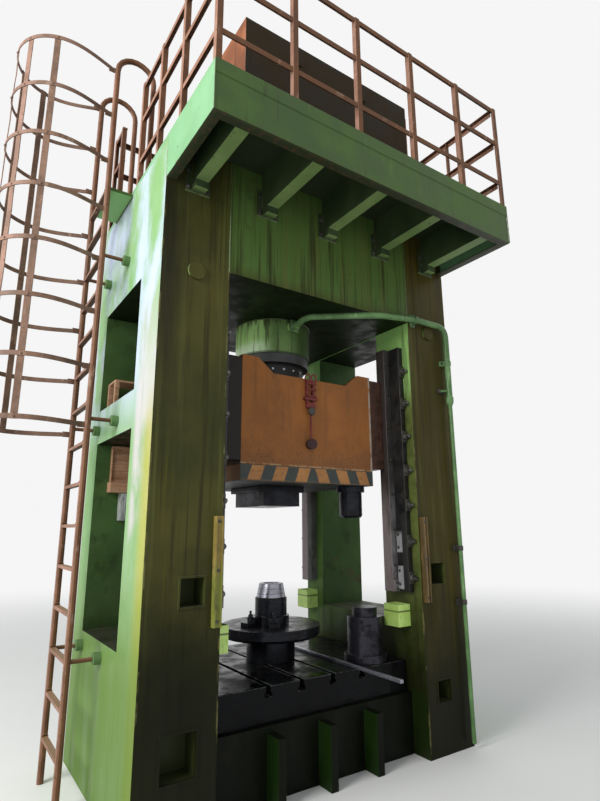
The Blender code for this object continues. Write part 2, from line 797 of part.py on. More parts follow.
def slide(carriage):
    """A welded box: notched front and rear plates, a floor for the ram and a hollow below it."""
    half, front, rear = SLIDE_HALF_WIDTH, SLIDE_FRONT, SLIDE_REAR
    body = box((-half, front, SLIDE_LOW), (half, rear, SLIDE_TOP))
    inner = half - SLIDE_WALL
    well = box((-inner, front + SLIDE_WALL, SLIDE_FLOOR), (inner, rear - SLIDE_WALL, SLIDE_TOP + OVERRUN))
    hollow = box(
        (-inner, front + SLIDE_WALL, SLIDE_LOW + SLIDE_WALL),
        (inner, rear - SLIDE_WALL, SLIDE_FLOOR - SLIDE_WALL),
    )
    lip = SLIDE_TOP + OVERRUN
    notch = (
        (-NOTCH_TOP_HALF, lip), (-NOTCH_TOP_HALF, SLIDE_TOP), (-NOTCH_LOW_HALF, SLIDE_TOP - NOTCH_DEPTH),
        (NOTCH_LOW_HALF, SLIDE_TOP - NOTCH_DEPTH), (NOTCH_TOP_HALF, SLIDE_TOP), (NOTCH_TOP_HALF, lip),
    )
    cut(body, well, hollow, prism(notch, 1, front - OVERRUN, rear + OVERRUN))
    for x in (-LIGHTENING_X, LIGHTENING_X):
        for y in (AXIS_Y - LIGHTENING_Y, AXIS_Y + LIGHTENING_Y):
            hole = drum(
                LIGHTENING_RADIUS,
                SLIDE_FLOOR - SLIDE_WALL - OVERRUN,
                SLIDE_FLOOR + OVERRUN,
                (x, y), MEDIUM_SIDES,
            )
            cut(body, hole)
    return finish(body, "slide", "slide_orange", None, carriage)


def slide_plate(carriage):
    half = SLIDE_HALF_WIDTH
    body = box((-half, SLIDE_FRONT, SLIDE_PLATE_LOW), (half, SLIDE_REAR, SLIDE_LOW - GAP))
    return finish(body, "slide_plate", "plate_dark", None, carriage)


def slide_shoe(name, side, end, carriage):
    """A bronze-faced guide block on the slide's flank that runs on one way."""
    face = WAY_FACE - RUNNING
    near = SLIDE_HALF_WIDTH + GAP
    outer_y = AXIS_Y + end * SLIDE_HALF_DEPTH
    inner_y = outer_y - end * SHOE_DEPTH
    low, high = SLIDE_LOW + SHOE_END, SLIDE_TOP - SHOE_END
    cham = SHOE_CHAMFER
    outline = (
        (side * near, low), (side * (face - cham), low), (side * face, low + cham),
        (side * face, high - cham), (side * (face - cham), high), (side * near, high),
    )
    return finish(prism(outline, 1, inner_y, outer_y), name, "lock_red", None, carriage)


def slide_lock(carriage):
    """The forked hanger with its pull rod and knob on the slide's front."""
    front = SLIDE_FRONT - GAP
    bar = LOCK_BAR
    low = LOCK_TOP - LOCK_LENGTH
    half = LOCK_SPREAD / 2
    proud = front - LOCK_CROSS_BAR
    cross = low + LOCK_CROSS_RISE
    body = box((LOCK_X - half, front - bar, low), (LOCK_X - half + bar, front, LOCK_TOP))
    parts = [
        box((LOCK_X + half - bar, front - bar, low), (LOCK_X + half, front, LOCK_TOP)),
        box((LOCK_X - half, front - bar, LOCK_TOP - bar), (LOCK_X + half, front, LOCK_TOP)),
        box((LOCK_X - half - bar, proud, cross), (LOCK_X + half + bar, front, cross + bar)),
        box((LOCK_X - half, proud, low), (LOCK_X + half, front, low + LOCK_FOOT)),
    ]
    rod_y = front - bar
    parts.append(drum(LOCK_ROD_RADIUS, LOCK_ROD_LOW, low + bar, (LOCK_X, rod_y), BAR_SIDES))
    knob = lying_drum(
        LOCK_KNOB_RADIUS,
        (LOCK_X, front - LOCK_KNOB_DEPTH, LOCK_ROD_LOW),
        (LOCK_X, front, LOCK_ROD_LOW),
        MEDIUM_SIDES, 1,
    )
    unite(body, *parts, knob)
    return finish(body, "slide_lock", "lock_red", None, carriage)


def upper_die(carriage):
    top = SLIDE_PLATE_LOW - GAP
    x, half, deep = UPPER_DIE_X, UPPER_DIE_HALF_WIDTH, UPPER_DIE_HALF_DEPTH
    lip = UPPER_DIE_LIP
    low = top - UPPER_DIE_HEIGHT
    outline = (
        (x - half, top), (x - half, top - lip), (x - half + lip, top - lip), (x - half + lip, low),
        (x + half - lip, low), (x + half - lip, top - lip), (x + half, top - lip), (x + half, top),
    )
    body = prism(outline, 1, AXIS_Y - deep, AXIS_Y + deep)
    return finish(body, "upper_die", "plate_dark", None, carriage)


def upper_punch(carriage):
    top = SLIDE_PLATE_LOW - GAP
    low = top - PUNCH_HEIGHT
    step = top - PUNCH_FLANGE_HEIGHT
    profile = [
        (0, low), (PUNCH_RADIUS - PUNCH_CHAMFER, low), (PUNCH_RADIUS, low + PUNCH_CHAMFER),
        (PUNCH_RADIUS, step), (PUNCH_FLANGE, step), (PUNCH_FLANGE, top), (0, top),
    ]
    body = turned(profile, (PUNCH_X, PUNCH_Y), MEDIUM_SIDES)
    return finish(body, "upper_punch", "die_steel", SMOOTH_ANGLE, carriage)


# Guides


def guide_way(name, side, end):
    """A steel bar on the upright's inner face, flush with the slide's end plus a small set-out."""
    outer_y = AXIS_Y + end * (SLIDE_HALF_DEPTH + WAY_SET_OUT)
    body = box(
        (side * WAY_FACE, outer_y - end * WAY_DEPTH, WAY_LOW),
        (side * (LEG_INNER - GAP), outer_y, WAY_TOP),
    )
    return finish(body, name, "way_steel")


def gib(name, side, end):
    """The housing beside a way, with its row of adjusting screws and two shims low down."""
    inner_y = AXIS_Y + end * (SLIDE_HALF_DEPTH + WAY_SET_OUT + GAP)
    outer_y = inner_y + end * (GIB_FRONT_DEPTH if end < 0 else GIB_REAR_DEPTH)
    near = side * (LEG_INNER - GAP - GIB_WIDTH)
    body = box((near, inner_y, WAY_LOW), (side * (LEG_INNER - GAP), outer_y, WAY_TOP))
    x = side * (LEG_INNER - GIB_WIDTH / 2)
    levels = spread(WAY_LOW + GIB_SCREW_LOW, WAY_TOP - GIB_SCREW_HIGH, GIB_SCREWS)
    for z in levels:
        tip = (x, outer_y + end * GIB_SCREW_LENGTH, z)
        unite(body, lying_drum(GIB_SCREW_RADIUS, (x, outer_y - end * WELD, z), tip, HEXAGON, 1))
    shim_y = inner_y + end * GIB_SHIM_INSET
    for z in levels[:SHIM_COUNT]:
        unite(body, box(
            (near - side * GIB_SHIM, shim_y, z - GIB_SHIM_LENGTH / 2),
            (near + side * WELD, shim_y + end * GIB_SHIM_WIDTH, z + GIB_SHIM_LENGTH / 2),
        ))
    return finish(body, name, "dark_gib")


def drip_pan(name, side, end):
    """An open sheet pan under a way that catches the guide's oil."""
    outer_y = AXIS_Y + end * (SLIDE_HALF_DEPTH + WAY_SET_OUT + PAN_PAST)
    inner_y = outer_y - end * PAN_DEPTH
    top = WAY_LOW - PAN_DROP
    low = top - PAN_HEIGHT
    far = side * (LEG_INNER - GAP)
    near = side * (LEG_INNER - GAP - PAN_REACH)
    body = box((near, inner_y, low), (far, outer_y, top))
    wall = PAN_WALL
    cut(body, box(
        (near + side * wall, inner_y + end * wall, low + wall),
        (far - side * wall, outer_y - end * wall, top + OVERRUN),
    ))
    return finish(body, name, "pan_green")


# Dies on the bolster


def die_base():
    low = BOLSTER_TOP + GAP
    top = DIE_BASE_TOP + DIE_DISC_HEIGHT
    profile = [
        (0, low), (DIE_BASE_RADIUS, low), (DIE_BASE_RADIUS, DIE_BASE_TOP),
        (DIE_DISC_RADIUS - DIE_BODY_STEP, DIE_BASE_TOP),
        (DIE_DISC_RADIUS, DIE_BASE_TOP + DIE_BODY_STEP), (DIE_DISC_RADIUS, top), (0, top),
    ]
    return finish(turned(profile, (0, AXIS_Y), LARGE_SIDES), "die_base", "die_steel", SMOOTH_ANGLE)


def die_body():
    low = DIE_BASE_TOP + DIE_DISC_HEIGHT + GAP
    top = low + DIE_BODY_HEIGHT
    step = low + DIE_BODY_HEIGHT / 3
    wide = DIE_BODY_RADIUS + DIE_BODY_STEP
    profile = [
        (0, low), (wide, low), (wide, step), (DIE_BODY_RADIUS, step), (DIE_BODY_RADIUS, top), (0, top),
    ]
    return finish(turned(profile, (0, AXIS_Y), MEDIUM_SIDES), "die_body", "die_steel", SMOOTH_ANGLE)


def die_ring():
    low = DIE_BASE_TOP + DIE_DISC_HEIGHT + DIE_BODY_HEIGHT + 2 * GAP
    top = low + DIE_RING_HEIGHT
    profile = [
        (DIE_RING_BORE, low), (DIE_RING_LOW_RADIUS, low), (DIE_RING_TOP_RADIUS, top), (DIE_RING_BORE, top),
    ]
    return finish(turned(profile, (0, AXIS_Y), MEDIUM_SIDES), "die_ring", "ring_steel", SMOOTH_ANGLE)


def die_clamp(name, turn_share):
    """A stepped clamp block that sits on the disc against the die body."""
    low = DIE_BASE_TOP + DIE_DISC_HEIGHT + GAP
    near = DIE_BODY_RADIUS + DIE_BODY_STEP + GAP
    far = near + CLAMP_LENGTH
    step = low + CLAMP_HEIGHT / 2
    outline = (
        (near, low), (far, low), (far, step), (near + CLAMP_LENGTH / 2, step),
        (near + CLAMP_LENGTH / 2, low + CLAMP_HEIGHT), (near, low + CLAMP_HEIGHT),
    )
    body = prism(outline, 1, -CLAMP_WIDTH / 2, CLAMP_WIDTH / 2)
    body.rotation_euler = (0, 0, 2 * pi * turn_share)
    body.location = (0, AXIS_Y, 0)
    return finish(body, name, "die_steel")


def spare_die():
    low = BOLSTER_TOP + GAP
    body_low = low + SPARE_FLANGE_HEIGHT
    body_top = body_low + SPARE_BODY_HEIGHT
    top = body_top + SPARE_NECK_HEIGHT
    profile = [
        (0, low), (SPARE_FLANGE_RADIUS, low), (SPARE_FLANGE_RADIUS, body_low), (SPARE_RADIUS, body_low),
        (SPARE_RADIUS, body_top), (SPARE_NECK_RADIUS, body_top), (SPARE_NECK_RADIUS, top), (0, top),
    ]
    return finish(turned(profile, (SPARE_X, SPARE_Y), MEDIUM_SIDES), "spare_die", "die_steel", SMOOTH_ANGLE)


def slot_bar():
    low = BOLSTER_TOP + GAP
    body = box(
        (BAR_X - BAR_WIDTH / 2, BOLSTER_FRONT - BAR_OVERHANG, low),
        (BAR_X + BAR_WIDTH / 2, BAR_REAR, low + BAR_HEIGHT),
    )
    return finish(body, "slot_bar", "ring_steel")


# Walkway


def deck():
    inner = HALF_WIDTH - FASCIA_PLATE - GAP
    front = WALK_FRONT + FASCIA_PLATE + GAP
    outline = (
        (-inner, front), (inner, front), (inner, -HALF_DEPTH), (HALF_WIDTH, -HALF_DEPTH),
        (HALF_WIDTH, HALF_DEPTH), (-HALF_WIDTH, HALF_DEPTH),
        (-HALF_WIDTH, -HALF_DEPTH), (-inner, -HALF_DEPTH),
    )
    return finish(prism(outline, 2, DECK_TOP - DECK_PLATE, DECK_TOP), "deck", "walkway_green")


def fascia():
    """A channel round the walkway's three free edges, with a turned-in lower flange."""
    back = -HALF_DEPTH - GAP
    half, front = HALF_WIDTH, WALK_FRONT

    def ring(width):
        return (
            (-half, front), (half, front), (half, back), (half - width, back),
            (half - width, front + width), (width - half, front + width),
            (width - half, back), (-half, back),
        )

    body = prism(ring(FASCIA_PLATE), 2, FASCIA_LOW, DECK_TOP)
    unite(body, prism(ring(FASCIA_FLANGE), 2, FASCIA_LOW, FASCIA_LOW + FASCIA_PLATE))
    lap = box(
        (-half, front - FASCIA_LAP_PROUD, DECK_TOP - FASCIA_LAP),
        (half, front + FASCIA_PLATE / 2, DECK_TOP),
    )
    unite(body, lap)
    return finish(body, "fascia", "walkway_green")


def deck_beam(name, x):
    """A cantilever box beam with bolted cleats and a foot against the head's front."""
    back = -HALF_DEPTH - GAP
    front = WALK_FRONT + FASCIA_PLATE + GAP
    low = BEAM_LOW
    half = BEAM_WIDTH / 2
    body = box((x - half, front, low), (x + half, back, BEAM_TOP))
    cut(body, box(
        (x - half + BEAM_WALL, front - OVERRUN, low + BEAM_WALL),
        (x + half - BEAM_WALL, back - BEAM_WALL, BEAM_TOP - BEAM_WALL),
    ))
    cleat_low = low - BEAM_FOOT_HEIGHT
    unite(body, box(
        (x - half - BEAM_CLEAT, back - BEAM_WALL, cleat_low),
        (x + half + BEAM_CLEAT, back, low + BEAM_CLEAT_HEIGHT),
    ))
    unite(body, box((x - half, back - BEAM_FOOT_DEPTH, cleat_low), (x + half, back, low + WELD)))
    return finish(body, name, "walkway_green")


def angle_outline(u, v, u_way, v_way):
    """An angle section with its heel at (u, v) and its legs towards U_WAY and V_WAY."""
    leg, thick = RAIL_LEG, RAIL_THICK
    return (
        (u, v), (u + u_way * leg, v), (u + u_way * leg, v + v_way * thick),
        (u + u_way * thick, v + v_way * thick), (u + u_way * thick, v + v_way * leg), (u, v + v_way * leg),
    )


def post(x, y, x_way, y_way):
    top = RAIL_Z[-1]
    return prism(angle_outline(x, y, x_way, y_way), 2, DECK_TOP + GAP, top)


def railing_along_x(y, y_way, posts):
    """Angle posts in a row, heel at Y, with three angle rails on their inner side."""
    first, last = posts[0], posts[-1]
    body = post(first, y, 1, y_way)
    for x in posts[1:]:
        unite(body, post(x, y, -1 if x == last else 1, y_way))
    inner_y = y + y_way * (RAIL_THICK - WELD)
    for z in RAIL_Z:
        outline = angle_outline(inner_y, z - RAIL_INSET, y_way, -1)
        unite(body, prism(outline, 0, first + WELD, last - WELD))
    return body


def railing_along_y(x, x_way, posts, start, end):
    """The same along Y, with rails from START to END."""
    body = post(x, posts[0], x_way, 1)
    for y in posts[1:]:
        unite(body, post(x, y, x_way, 1))
    inner_x = x + x_way * (RAIL_THICK - WELD)
    for z in RAIL_Z:
        outline = angle_outline(inner_x, z - RAIL_INSET, x_way, -1)
        unite(body, prism(outline, 1, start, end))
    return body


def spread(first, last, count):
    return [first + (last - first) * k / (count - 1) for k in range(count)]


def railings():
    edge = HALF_WIDTH - RAIL_INSET
    front = WALK_FRONT + RAIL_INSET
    rear = HALF_DEPTH - RAIL_INSET
    posts = spread(-edge, edge, POST_COUNT)
    corner = RAIL_THICK + RAIL_LEG + GAP
    start = front + corner
    end = rear - corner
    finish(railing_along_x(front, 1, posts), "railing_front", "rail_orange")
    short = railing_along_y(-edge, 1, (REAR_SHORT_Y,), REAR_SHORT_Y, rear - WELD)
    finish(unite(railing_along_x(rear, -1, posts), short), "railing_rear", "rail_orange")
    left = railing_along_y(-edge, 1, LEFT_POST_Y, start, LEFT_POST_Y[-1] + RAIL_LEG)
    finish(left, "railing_left", "rail_orange")
    right = railing_along_y(edge, -1, RIGHT_POST_Y, start, end)
    finish(right, "railing_right", "rail_orange")


# Ladder


def ladder():
    """Two stiles with rungs from the floor to the deck, held off the frame by six arms."""
    top = DECK_TOP - DECK_PLATE
    face = -HALF_WIDTH - GAP
    foot_x = face - ARM_FOOT_LENGTH
    front, rear = (
        drum(STILE_RADIUS, 0, top, (STILE_X, y), BAR_SIDES) for y in (STILE_FRONT_Y, STILE_REAR_Y)
    )
    for k in range(RUNG_COUNT):
        z = RUNG_FIRST + k * RUNG_PITCH
        unite(front, box(
            (STILE_X - RUNG_WIDTH / 2, STILE_FRONT_Y, z - RUNG_HEIGHT),
            (STILE_X + RUNG_WIDTH / 2, STILE_REAR_Y, z),
        ))
    unite(front, rear)
    for y in (STILE_FRONT_Y, STILE_REAR_Y):
        for z in ARM_Z:
            arm = lying_drum(ARM_RADIUS, (STILE_X, y, z), (foot_x + WELD, y, z), BAR_SIDES, 0)
            foot = lying_drum(ARM_FOOT_RADIUS, (foot_x, y, z), (face, y, z), SMALL_SIDES, 0)
            unite(front, unite(arm, foot))
    return finish(front, "ladder", "rail_orange", SMOOTH_ANGLE)


def gooseneck(name, y):
    """A stile's upper end, bent over in a half circle and down to the deck."""
    centre = STILE_X + NECK_RADIUS
    low = DECK_TOP - DECK_PLATE + GAP
    path = [(STILE_X, y, low)]
    for k in range(NECK_STEPS + 1):
        turn = pi - pi * k / NECK_STEPS
        path.append((centre + NECK_RADIUS * cos(turn), y, NECK_TOP + NECK_RADIUS * sin(turn)))
    path.append((NECK_INNER_X, y, DECK_TOP + GAP))
    body = sweep(path, round_outline(STILE_RADIUS, BAR_SIDES), (0, 1, 0))
    return finish(body, name, "rail_orange", SMOOTH_ANGLE)


def hoop_path(z, radius_change):
    """Half of a circle round the climber, joined to both stiles by straight tapering runs."""
    middle = (STILE_FRONT_Y + STILE_REAR_Y) / 2
    radius = HOOP_RADIUS + radius_change
    stile = STILE_X - STILE_RADIUS - 2 * GAP
    points = [(stile, STILE_FRONT_Y, z)]
    for k in range(HOOP_STEPS + 1):
        turn = -pi / 2 - pi * k / HOOP_STEPS
        points.append((HOOP_CENTRE_X + radius * cos(turn), middle + radius * sin(turn), z))
    points.append((stile, STILE_REAR_Y, z))
    return points


def cage():
    """Eight flat hoops tied by five vertical straps on their inner side."""
    outline = ((-HOOP_THICK / 2, -HOOP_HEIGHT / 2), (HOOP_THICK / 2, -HOOP_HEIGHT / 2),
               (HOOP_THICK / 2, HOOP_HEIGHT / 2), (-HOOP_THICK / 2, HOOP_HEIGHT / 2))
    middle = (STILE_FRONT_Y + STILE_REAR_Y) / 2
    top = HOOP_LOW + (HOOP_COUNT - 1) * HOOP_PITCH
    centre_radius = HOOP_RADIUS - (HOOP_THICK + STRAP_THICK) / 2 + WELD
    body = None
    hoops = [sweep(hoop_path(HOOP_LOW + k * HOOP_PITCH, 0), outline, (0, 0, 1)) for k in range(HOOP_COUNT)]
    for share in STRAP_ANGLES_SHARE:
        turn = -pi / 2 - pi * share
        flat = box(
            (-STRAP_THICK / 2, -STRAP_WIDTH / 2, HOOP_LOW - HOOP_HEIGHT / 2),
            (STRAP_THICK / 2, STRAP_WIDTH / 2, top + HOOP_HEIGHT / 2),
        )
        flat.rotation_euler = (0, 0, turn)
        flat.location = (HOOP_CENTRE_X + centre_radius * cos(turn), middle + centre_radius * sin(turn), 0)
        if body is None:
            body = flat
            for hoop in hoops:
                unite(body, hoop)
        else:
            unite(body, flat)
    return finish(body, "ladder_cage", "rail_orange")


def landing():
    low = LANDING_TOP - LANDING_PLATE
    clear = STILE_RADIUS + GAP
    body = box(
        (STILE_X, STILE_FRONT_Y + clear, low),
        (-HALF_WIDTH - GAP, STILE_REAR_Y - clear, LANDING_TOP),
    )
    return finish(body, "landing", "walkway_green")


# Tank on the roof


def oil_tank():
    """A sheet tank on two runners, with a filler neck and two lifting eyes on its front."""
    low = DECK_TOP + GAP + TANK_RUNNER
    top = low + TANK_HEIGHT
    rear = TANK_FRONT + TANK_DEPTH
    left, right = TANK_X - TANK_HALF_WIDTH, TANK_X + TANK_HALF_WIDTH
    body = box((left, TANK_FRONT, low), (right, rear, top))
    for y in (TANK_FRONT, rear - TANK_RUNNER):
        unite(body, box((left, y, DECK_TOP + GAP), (right, y + TANK_RUNNER, low + WELD)))
    wall = TANK_WALL
    cut(body, box((left + wall, TANK_FRONT + wall, low + wall), (right - wall, rear - wall, top - wall)))
    filler = (TANK_X + FILLER_X_SHARE * TANK_HALF_WIDTH, TANK_FRONT + TANK_DEPTH / 3)
    cut(body, drum(FILLER_RADIUS / 2, top - wall - OVERRUN, top + OVERRUN, filler, SMALL_SIDES))
    for share in TANK_LUG_X_SHARE:
        x, z = TANK_X + share * TANK_HALF_WIDTH, top - TANK_LUG_DROP
        face, back = (x, TANK_FRONT - TANK_LUG_THICK, z), (x, TANK_FRONT + wall / 2, z)
        unite(body, lying_drum(TANK_LUG_RADIUS, face, back, SMALL_SIDES, 1))
    return finish(body, "oil_tank", "tank_brown"), filler, top


def filler_cap(place, top):
    low = top + GAP
    flange, lid = low + FILLER_HEIGHT / 3, low + 2 * FILLER_HEIGHT / 3
    profile = [
        (0, low), (FILLER_RADIUS, low), (FILLER_RADIUS, flange),
        (FILLER_RADIUS / 2, flange), (FILLER_RADIUS / 2, lid),
        (FILLER_LID_RADIUS, lid), (FILLER_LID_RADIUS, low + FILLER_HEIGHT),
        (0, low + FILLER_HEIGHT),
    ]
    return finish(turned(profile, place, SMALL_SIDES), "filler_cap", "dark_gib", SMOOTH_ANGLE)


# Pipes and fittings


def pipe_clamp(x, z, radius, along_z):
    """A clip on the upright's front that holds a pipe whose axis passes through (x, z)."""
    face = -HALF_DEPTH - GAP
    long, wide = radius + PIPE_CLAMP_HEIGHT / 2, PIPE_CLAMP_WIDTH / 2
    across, up = (long, wide) if along_z else (wide, long)
    return box((x - across, face, z - up), (x + across, PIPE_Y - radius - PIPE_CLEARANCE, z + up))


def oil_pipe():
    """The pressure pipe from the cylinder's port, under the head's edge and down the right upright."""
    port_y = AXIS_Y - CYLINDER_RADIUS - PIPE_PORT_PAD - GAP
    clamp_x = LEG_INNER + PIPE_CLAMP_WIDTH
    path = [
        (0, port_y - PIPE_PORT_DEPTH / 2, PIPE_PORT_LEVEL),
        (0, port_y - PIPE_OUT, PIPE_PASS_LEVEL),
        (PIPE_PASS_X, PIPE_Y, PIPE_PASS_LEVEL),
        (clamp_x, PIPE_Y, PIPE_LEVEL),
        (PIPE_DOWN_X, PIPE_Y, PIPE_LEVEL),
        (PIPE_DOWN_X, PIPE_Y, PIPE_REDUCER_Z),
    ]
    body = sweep(rounded(path, PIPE_BEND, BEND_STEPS), round_outline(PIPE_RADIUS, SMALL_SIDES), (0, 0, 1))
    unite(body, lying_drum(
        PIPE_PORT_RADIUS,
        (0, port_y, PIPE_PORT_LEVEL),
        (0, port_y - PIPE_PORT_DEPTH, PIPE_PORT_LEVEL),
        SMALL_SIDES, 1,
    ))
    thin = [(PIPE_DOWN_X, PIPE_Y, PIPE_REDUCER_Z + WELD), (PIPE_DOWN_X, PIPE_Y, DRAIN_LOW)]
    unite(body, sweep(thin, round_outline(DRAIN_RADIUS, BAR_SIDES), (0, 1, 0)))
    collar_low, collar_top = PIPE_REDUCER_Z - PIPE_RADIUS, PIPE_REDUCER_Z + PIPE_RADIUS
    unite(body, drum(PIPE_COLLAR_RADIUS, collar_low, collar_top, (PIPE_DOWN_X, PIPE_Y), SMALL_SIDES))
    unite(body, pipe_clamp(clamp_x, PIPE_LEVEL, PIPE_RADIUS, False))
    unite(body, pipe_clamp(PIPE_DOWN_X, PIPE_HIGH_CLAMP_Z, PIPE_RADIUS, True))
    unite(body, pipe_clamp(PIPE_DOWN_X, PIPE_LOW_CLAMP_Z, DRAIN_RADIUS, True))
    return finish(body, "oil_pipe", "pipe_green", SMOOTH_ANGLE)


def guard_bar(name, side):
    x = side * GUARD_X
    half = GUARD_WIDTH / 2
    back = -HALF_DEPTH - GAP
    front = back - GUARD_DEPTH
    lip = GUARD_LIP
    outline = (
        (x - half, back), (x - half, front), (x - half + lip, front), (x - half + lip, front + lip),
        (x + half - lip, front + lip), (x + half - lip, front), (x + half, front), (x + half, back),
    )
    body = prism(outline, 2, GUARD_LOW, GUARD_LOW + GUARD_HEIGHT)
    return finish(body, name, "guard_orange")


def window_shelf():
    """A small angle stand on the left upright's upper sill."""
    low = HIGH_SILL + GAP
    top = low + SHELF_HEIGHT
    left = -HALF_WIDTH + LEG_WALL
    right = left + SHELF_WIDTH
    rear = WINDOW_REAR - SHELF_BAR
    front = rear - SHELF_DEPTH
    bar = SHELF_BAR
    body = box((left, front, top - bar / 2), (right, rear, top))
    for x in (left, right - bar):
        for y in (front, rear - bar):
            unite(body, box((x, y, low), (x + bar, y + bar, top - WELD)))
    return finish(body, "window_shelf", "guard_orange")


def cable_panel():
    """A framed panel with a ledge on the rear leg, seen through the left lower window."""
    back = WINDOW_REAR - GAP
    left = -HALF_WIDTH + PANEL_SIDE
    right = left + PANEL_WIDTH
    low, top = PANEL_LOW, PANEL_LOW + PANEL_HEIGHT
    rim = PANEL_DEPTH / 2
    body = box((left, back - PANEL_DEPTH, low), (right, back, top))
    cut(body, box(
        (left + rim, back - PANEL_DEPTH - OVERRUN, low + rim),
        (right - rim, back - PANEL_DEPTH / 2, top - rim),
    ))
    unite(body, box(
        (left - rim, back - PANEL_LEDGE_REACH, low - PANEL_LEDGE),
        (right + rim, back, low + WELD),
    ))
    return finish(body, "cable_panel", "guard_orange")


def junction_box():
    back = WINDOW_REAR - GAP
    left = -HALF_WIDTH + PANEL_SIDE + PANEL_LEDGE
    top = PANEL_LOW - PANEL_LEDGE - GAP
    body = box((left, back - JUNCTION_DEPTH, top - JUNCTION_HEIGHT), (left + JUNCTION_WIDTH, back, top))
    return finish(body, "junction_box", "box_grey")


def build():
    start_empty()
    carriage = bpy.data.objects.new("carriage", None)
    bpy.context.scene.collection.objects.link(carriage)
    carriage.location = (0, AXIS_Y, SLIDE_LOW)
    upright("upright_left", -1)
    upright("upright_right", 1)
    crown()
    bed()
    bolster()
    main_cylinder()
    gland_ring()
    for place, side, end in (
        ("front_left", -1, -1), ("front_right", 1, -1), ("rear_left", -1, 1), ("rear_right", 1, 1),
    ):
        guide_way("way_" + place, side, end)
        gib("gib_" + place, side, end)
        drip_pan("drip_pan_" + place, side, end)
        slide_shoe("shoe_" + place, side, end, carriage)
    ram(carriage)
    slide(carriage)
    slide_plate(carriage)
    slide_lock(carriage)
    upper_die(carriage)
    upper_punch(carriage)
    die_base()
    die_body()
    die_ring()
    die_clamp("die_clamp_1", CLAMP_TURN_SHARES[0])
    die_clamp("die_clamp_2", CLAMP_TURN_SHARES[1])
    spare_die()
    slot_bar()
    deck()
    fascia()
    for k in range(BEAM_COUNT):
        deck_beam("deck_beam_%d" % (k + 1), (k - (BEAM_COUNT - 1) / 2) * BEAM_PITCH)
    railings()
    ladder()
    gooseneck("gooseneck_front", STILE_FRONT_Y)
    gooseneck("gooseneck_rear", STILE_REAR_Y)
    cage()
    landing()
    tank, filler, tank_top = oil_tank()
    filler_cap(filler, tank_top)
    oil_pipe()
    guard_bar("guard_bar_left", -1)
    guard_bar("guard_bar_right", 1)
    window_shelf()
    cable_panel()
    junction_box()


if __name__ == "__main__":
    build()
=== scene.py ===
import math

import bmesh
import bpy
from mathutils import Matrix, Vector


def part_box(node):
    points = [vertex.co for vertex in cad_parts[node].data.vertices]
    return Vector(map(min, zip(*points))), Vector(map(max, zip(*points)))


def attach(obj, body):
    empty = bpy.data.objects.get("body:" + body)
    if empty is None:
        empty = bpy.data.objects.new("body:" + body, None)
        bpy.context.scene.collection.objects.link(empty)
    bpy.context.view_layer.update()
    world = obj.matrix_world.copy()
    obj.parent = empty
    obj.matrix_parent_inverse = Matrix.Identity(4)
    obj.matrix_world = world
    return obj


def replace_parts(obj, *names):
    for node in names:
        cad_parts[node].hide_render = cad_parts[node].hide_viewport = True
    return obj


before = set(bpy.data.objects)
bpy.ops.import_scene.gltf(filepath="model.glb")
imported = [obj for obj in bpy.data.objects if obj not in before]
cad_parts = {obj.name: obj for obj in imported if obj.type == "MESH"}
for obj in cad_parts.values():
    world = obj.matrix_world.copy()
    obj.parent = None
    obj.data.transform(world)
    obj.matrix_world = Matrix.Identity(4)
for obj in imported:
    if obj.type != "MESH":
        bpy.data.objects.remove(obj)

# Camera, solved from the photograph
CAMERA_PLACE = (-2.548, -4.153, 1.785)
CAMERA_YAW = 34.163
CAMERA_PITCH = 13.2144
CAMERA_ROLL = -0.3526
CAMERA_LENS = 24.079
SENSOR = 36.0

# Light
KEY_PLACE = (-7.4, -1.7, 5.6)
KEY_AIM = (0.0, 0.0, 2.4)
KEY_SIZE = 4.0
KEY_POWER = 640.0
KEY_TINT = (1.0, 1.0, 0.98)
WORLD_LEVEL = 0.56
WORLD_TINT = (0.96, 0.99, 1.0)
FLOOR_REACH = 60.0
FLOOR_RINGS = 12
FLOOR_SIDES = 48
BACKDROP_TONE = (0.92, 0.92, 0.92)
FADE_START = 3.2
FADE_END = 15.0

# Places on the press, in metres
LEG_OUT = 1.44
LEG_IN = 0.92
FRONT = -0.83
FRAME_TOP = 4.56
CROWN_LOW = 3.625
FASCIA_LOW = 4.23
FASCIA_TOP = 4.6
SLIDE_LOW = 2.25
PLATE_LOW = 2.1247
PLATE_TOP = 2.2497
BAND_CENTRE = 0.01
BAND_PITCH = 0.217
BAND_START = 0.018
BAND_SLANT = 0.37
BAND_SHARE = 0.53
SHIM_BACK = 0.8645
SLOT_PLACES = (-0.4275, -0.1425, 0.1425, 0.4275)
SLOT_HALF = 0.018
GUARD_X = 0.96
BEND_SHARE = 0.45
BEAD_STEP = 0.007
BEAD_RIPPLE = 0.16
STILE_X = -1.655
STILE_RADIUS = 0.024
STILE_FRONT = -0.02
STILE_REAR = 0.515
HOOP_X = -2.045
HOOP_RADIUS = 0.365
HOOP_LOW = 2.53
HOOP_PITCH = 0.45
HOOP_COUNT = 8
HOOP_STEPS = 48
HOOP_RUN = 10
STRAP_SHARES = (0.1, 0.3, 0.5, 0.7, 0.9)
PORT_Y = -0.3023
PORT_Z = 3.56
PIPE_PASS_X = 0.506
PIPE_X = 1.375
PIPE_Y = -0.8835
PIPE_Z = 3.648
PIPE_RADIUS = 0.0275
THIN_RADIUS = 0.018
REDUCER_Z = 2.93
GIB_X = 0.8925
GIB_NEAR = 0.8647
GIB_LOW = 1.355
GIB_HIGH = 3.165
GIB_FRONT = -0.7428
GIB_REAR = 0.8278
WAY_X = 0.832
WAY_FRONT = -0.6175
BEAM_PLACES = (-1.2, -0.6, 0.0, 0.6, 1.2)
POST_PLACES = (-1.436, -0.862, -0.287, 0.287, 0.862, 1.394)
TANK_FRONT = -0.8
CYLINDER_Y = 0.07
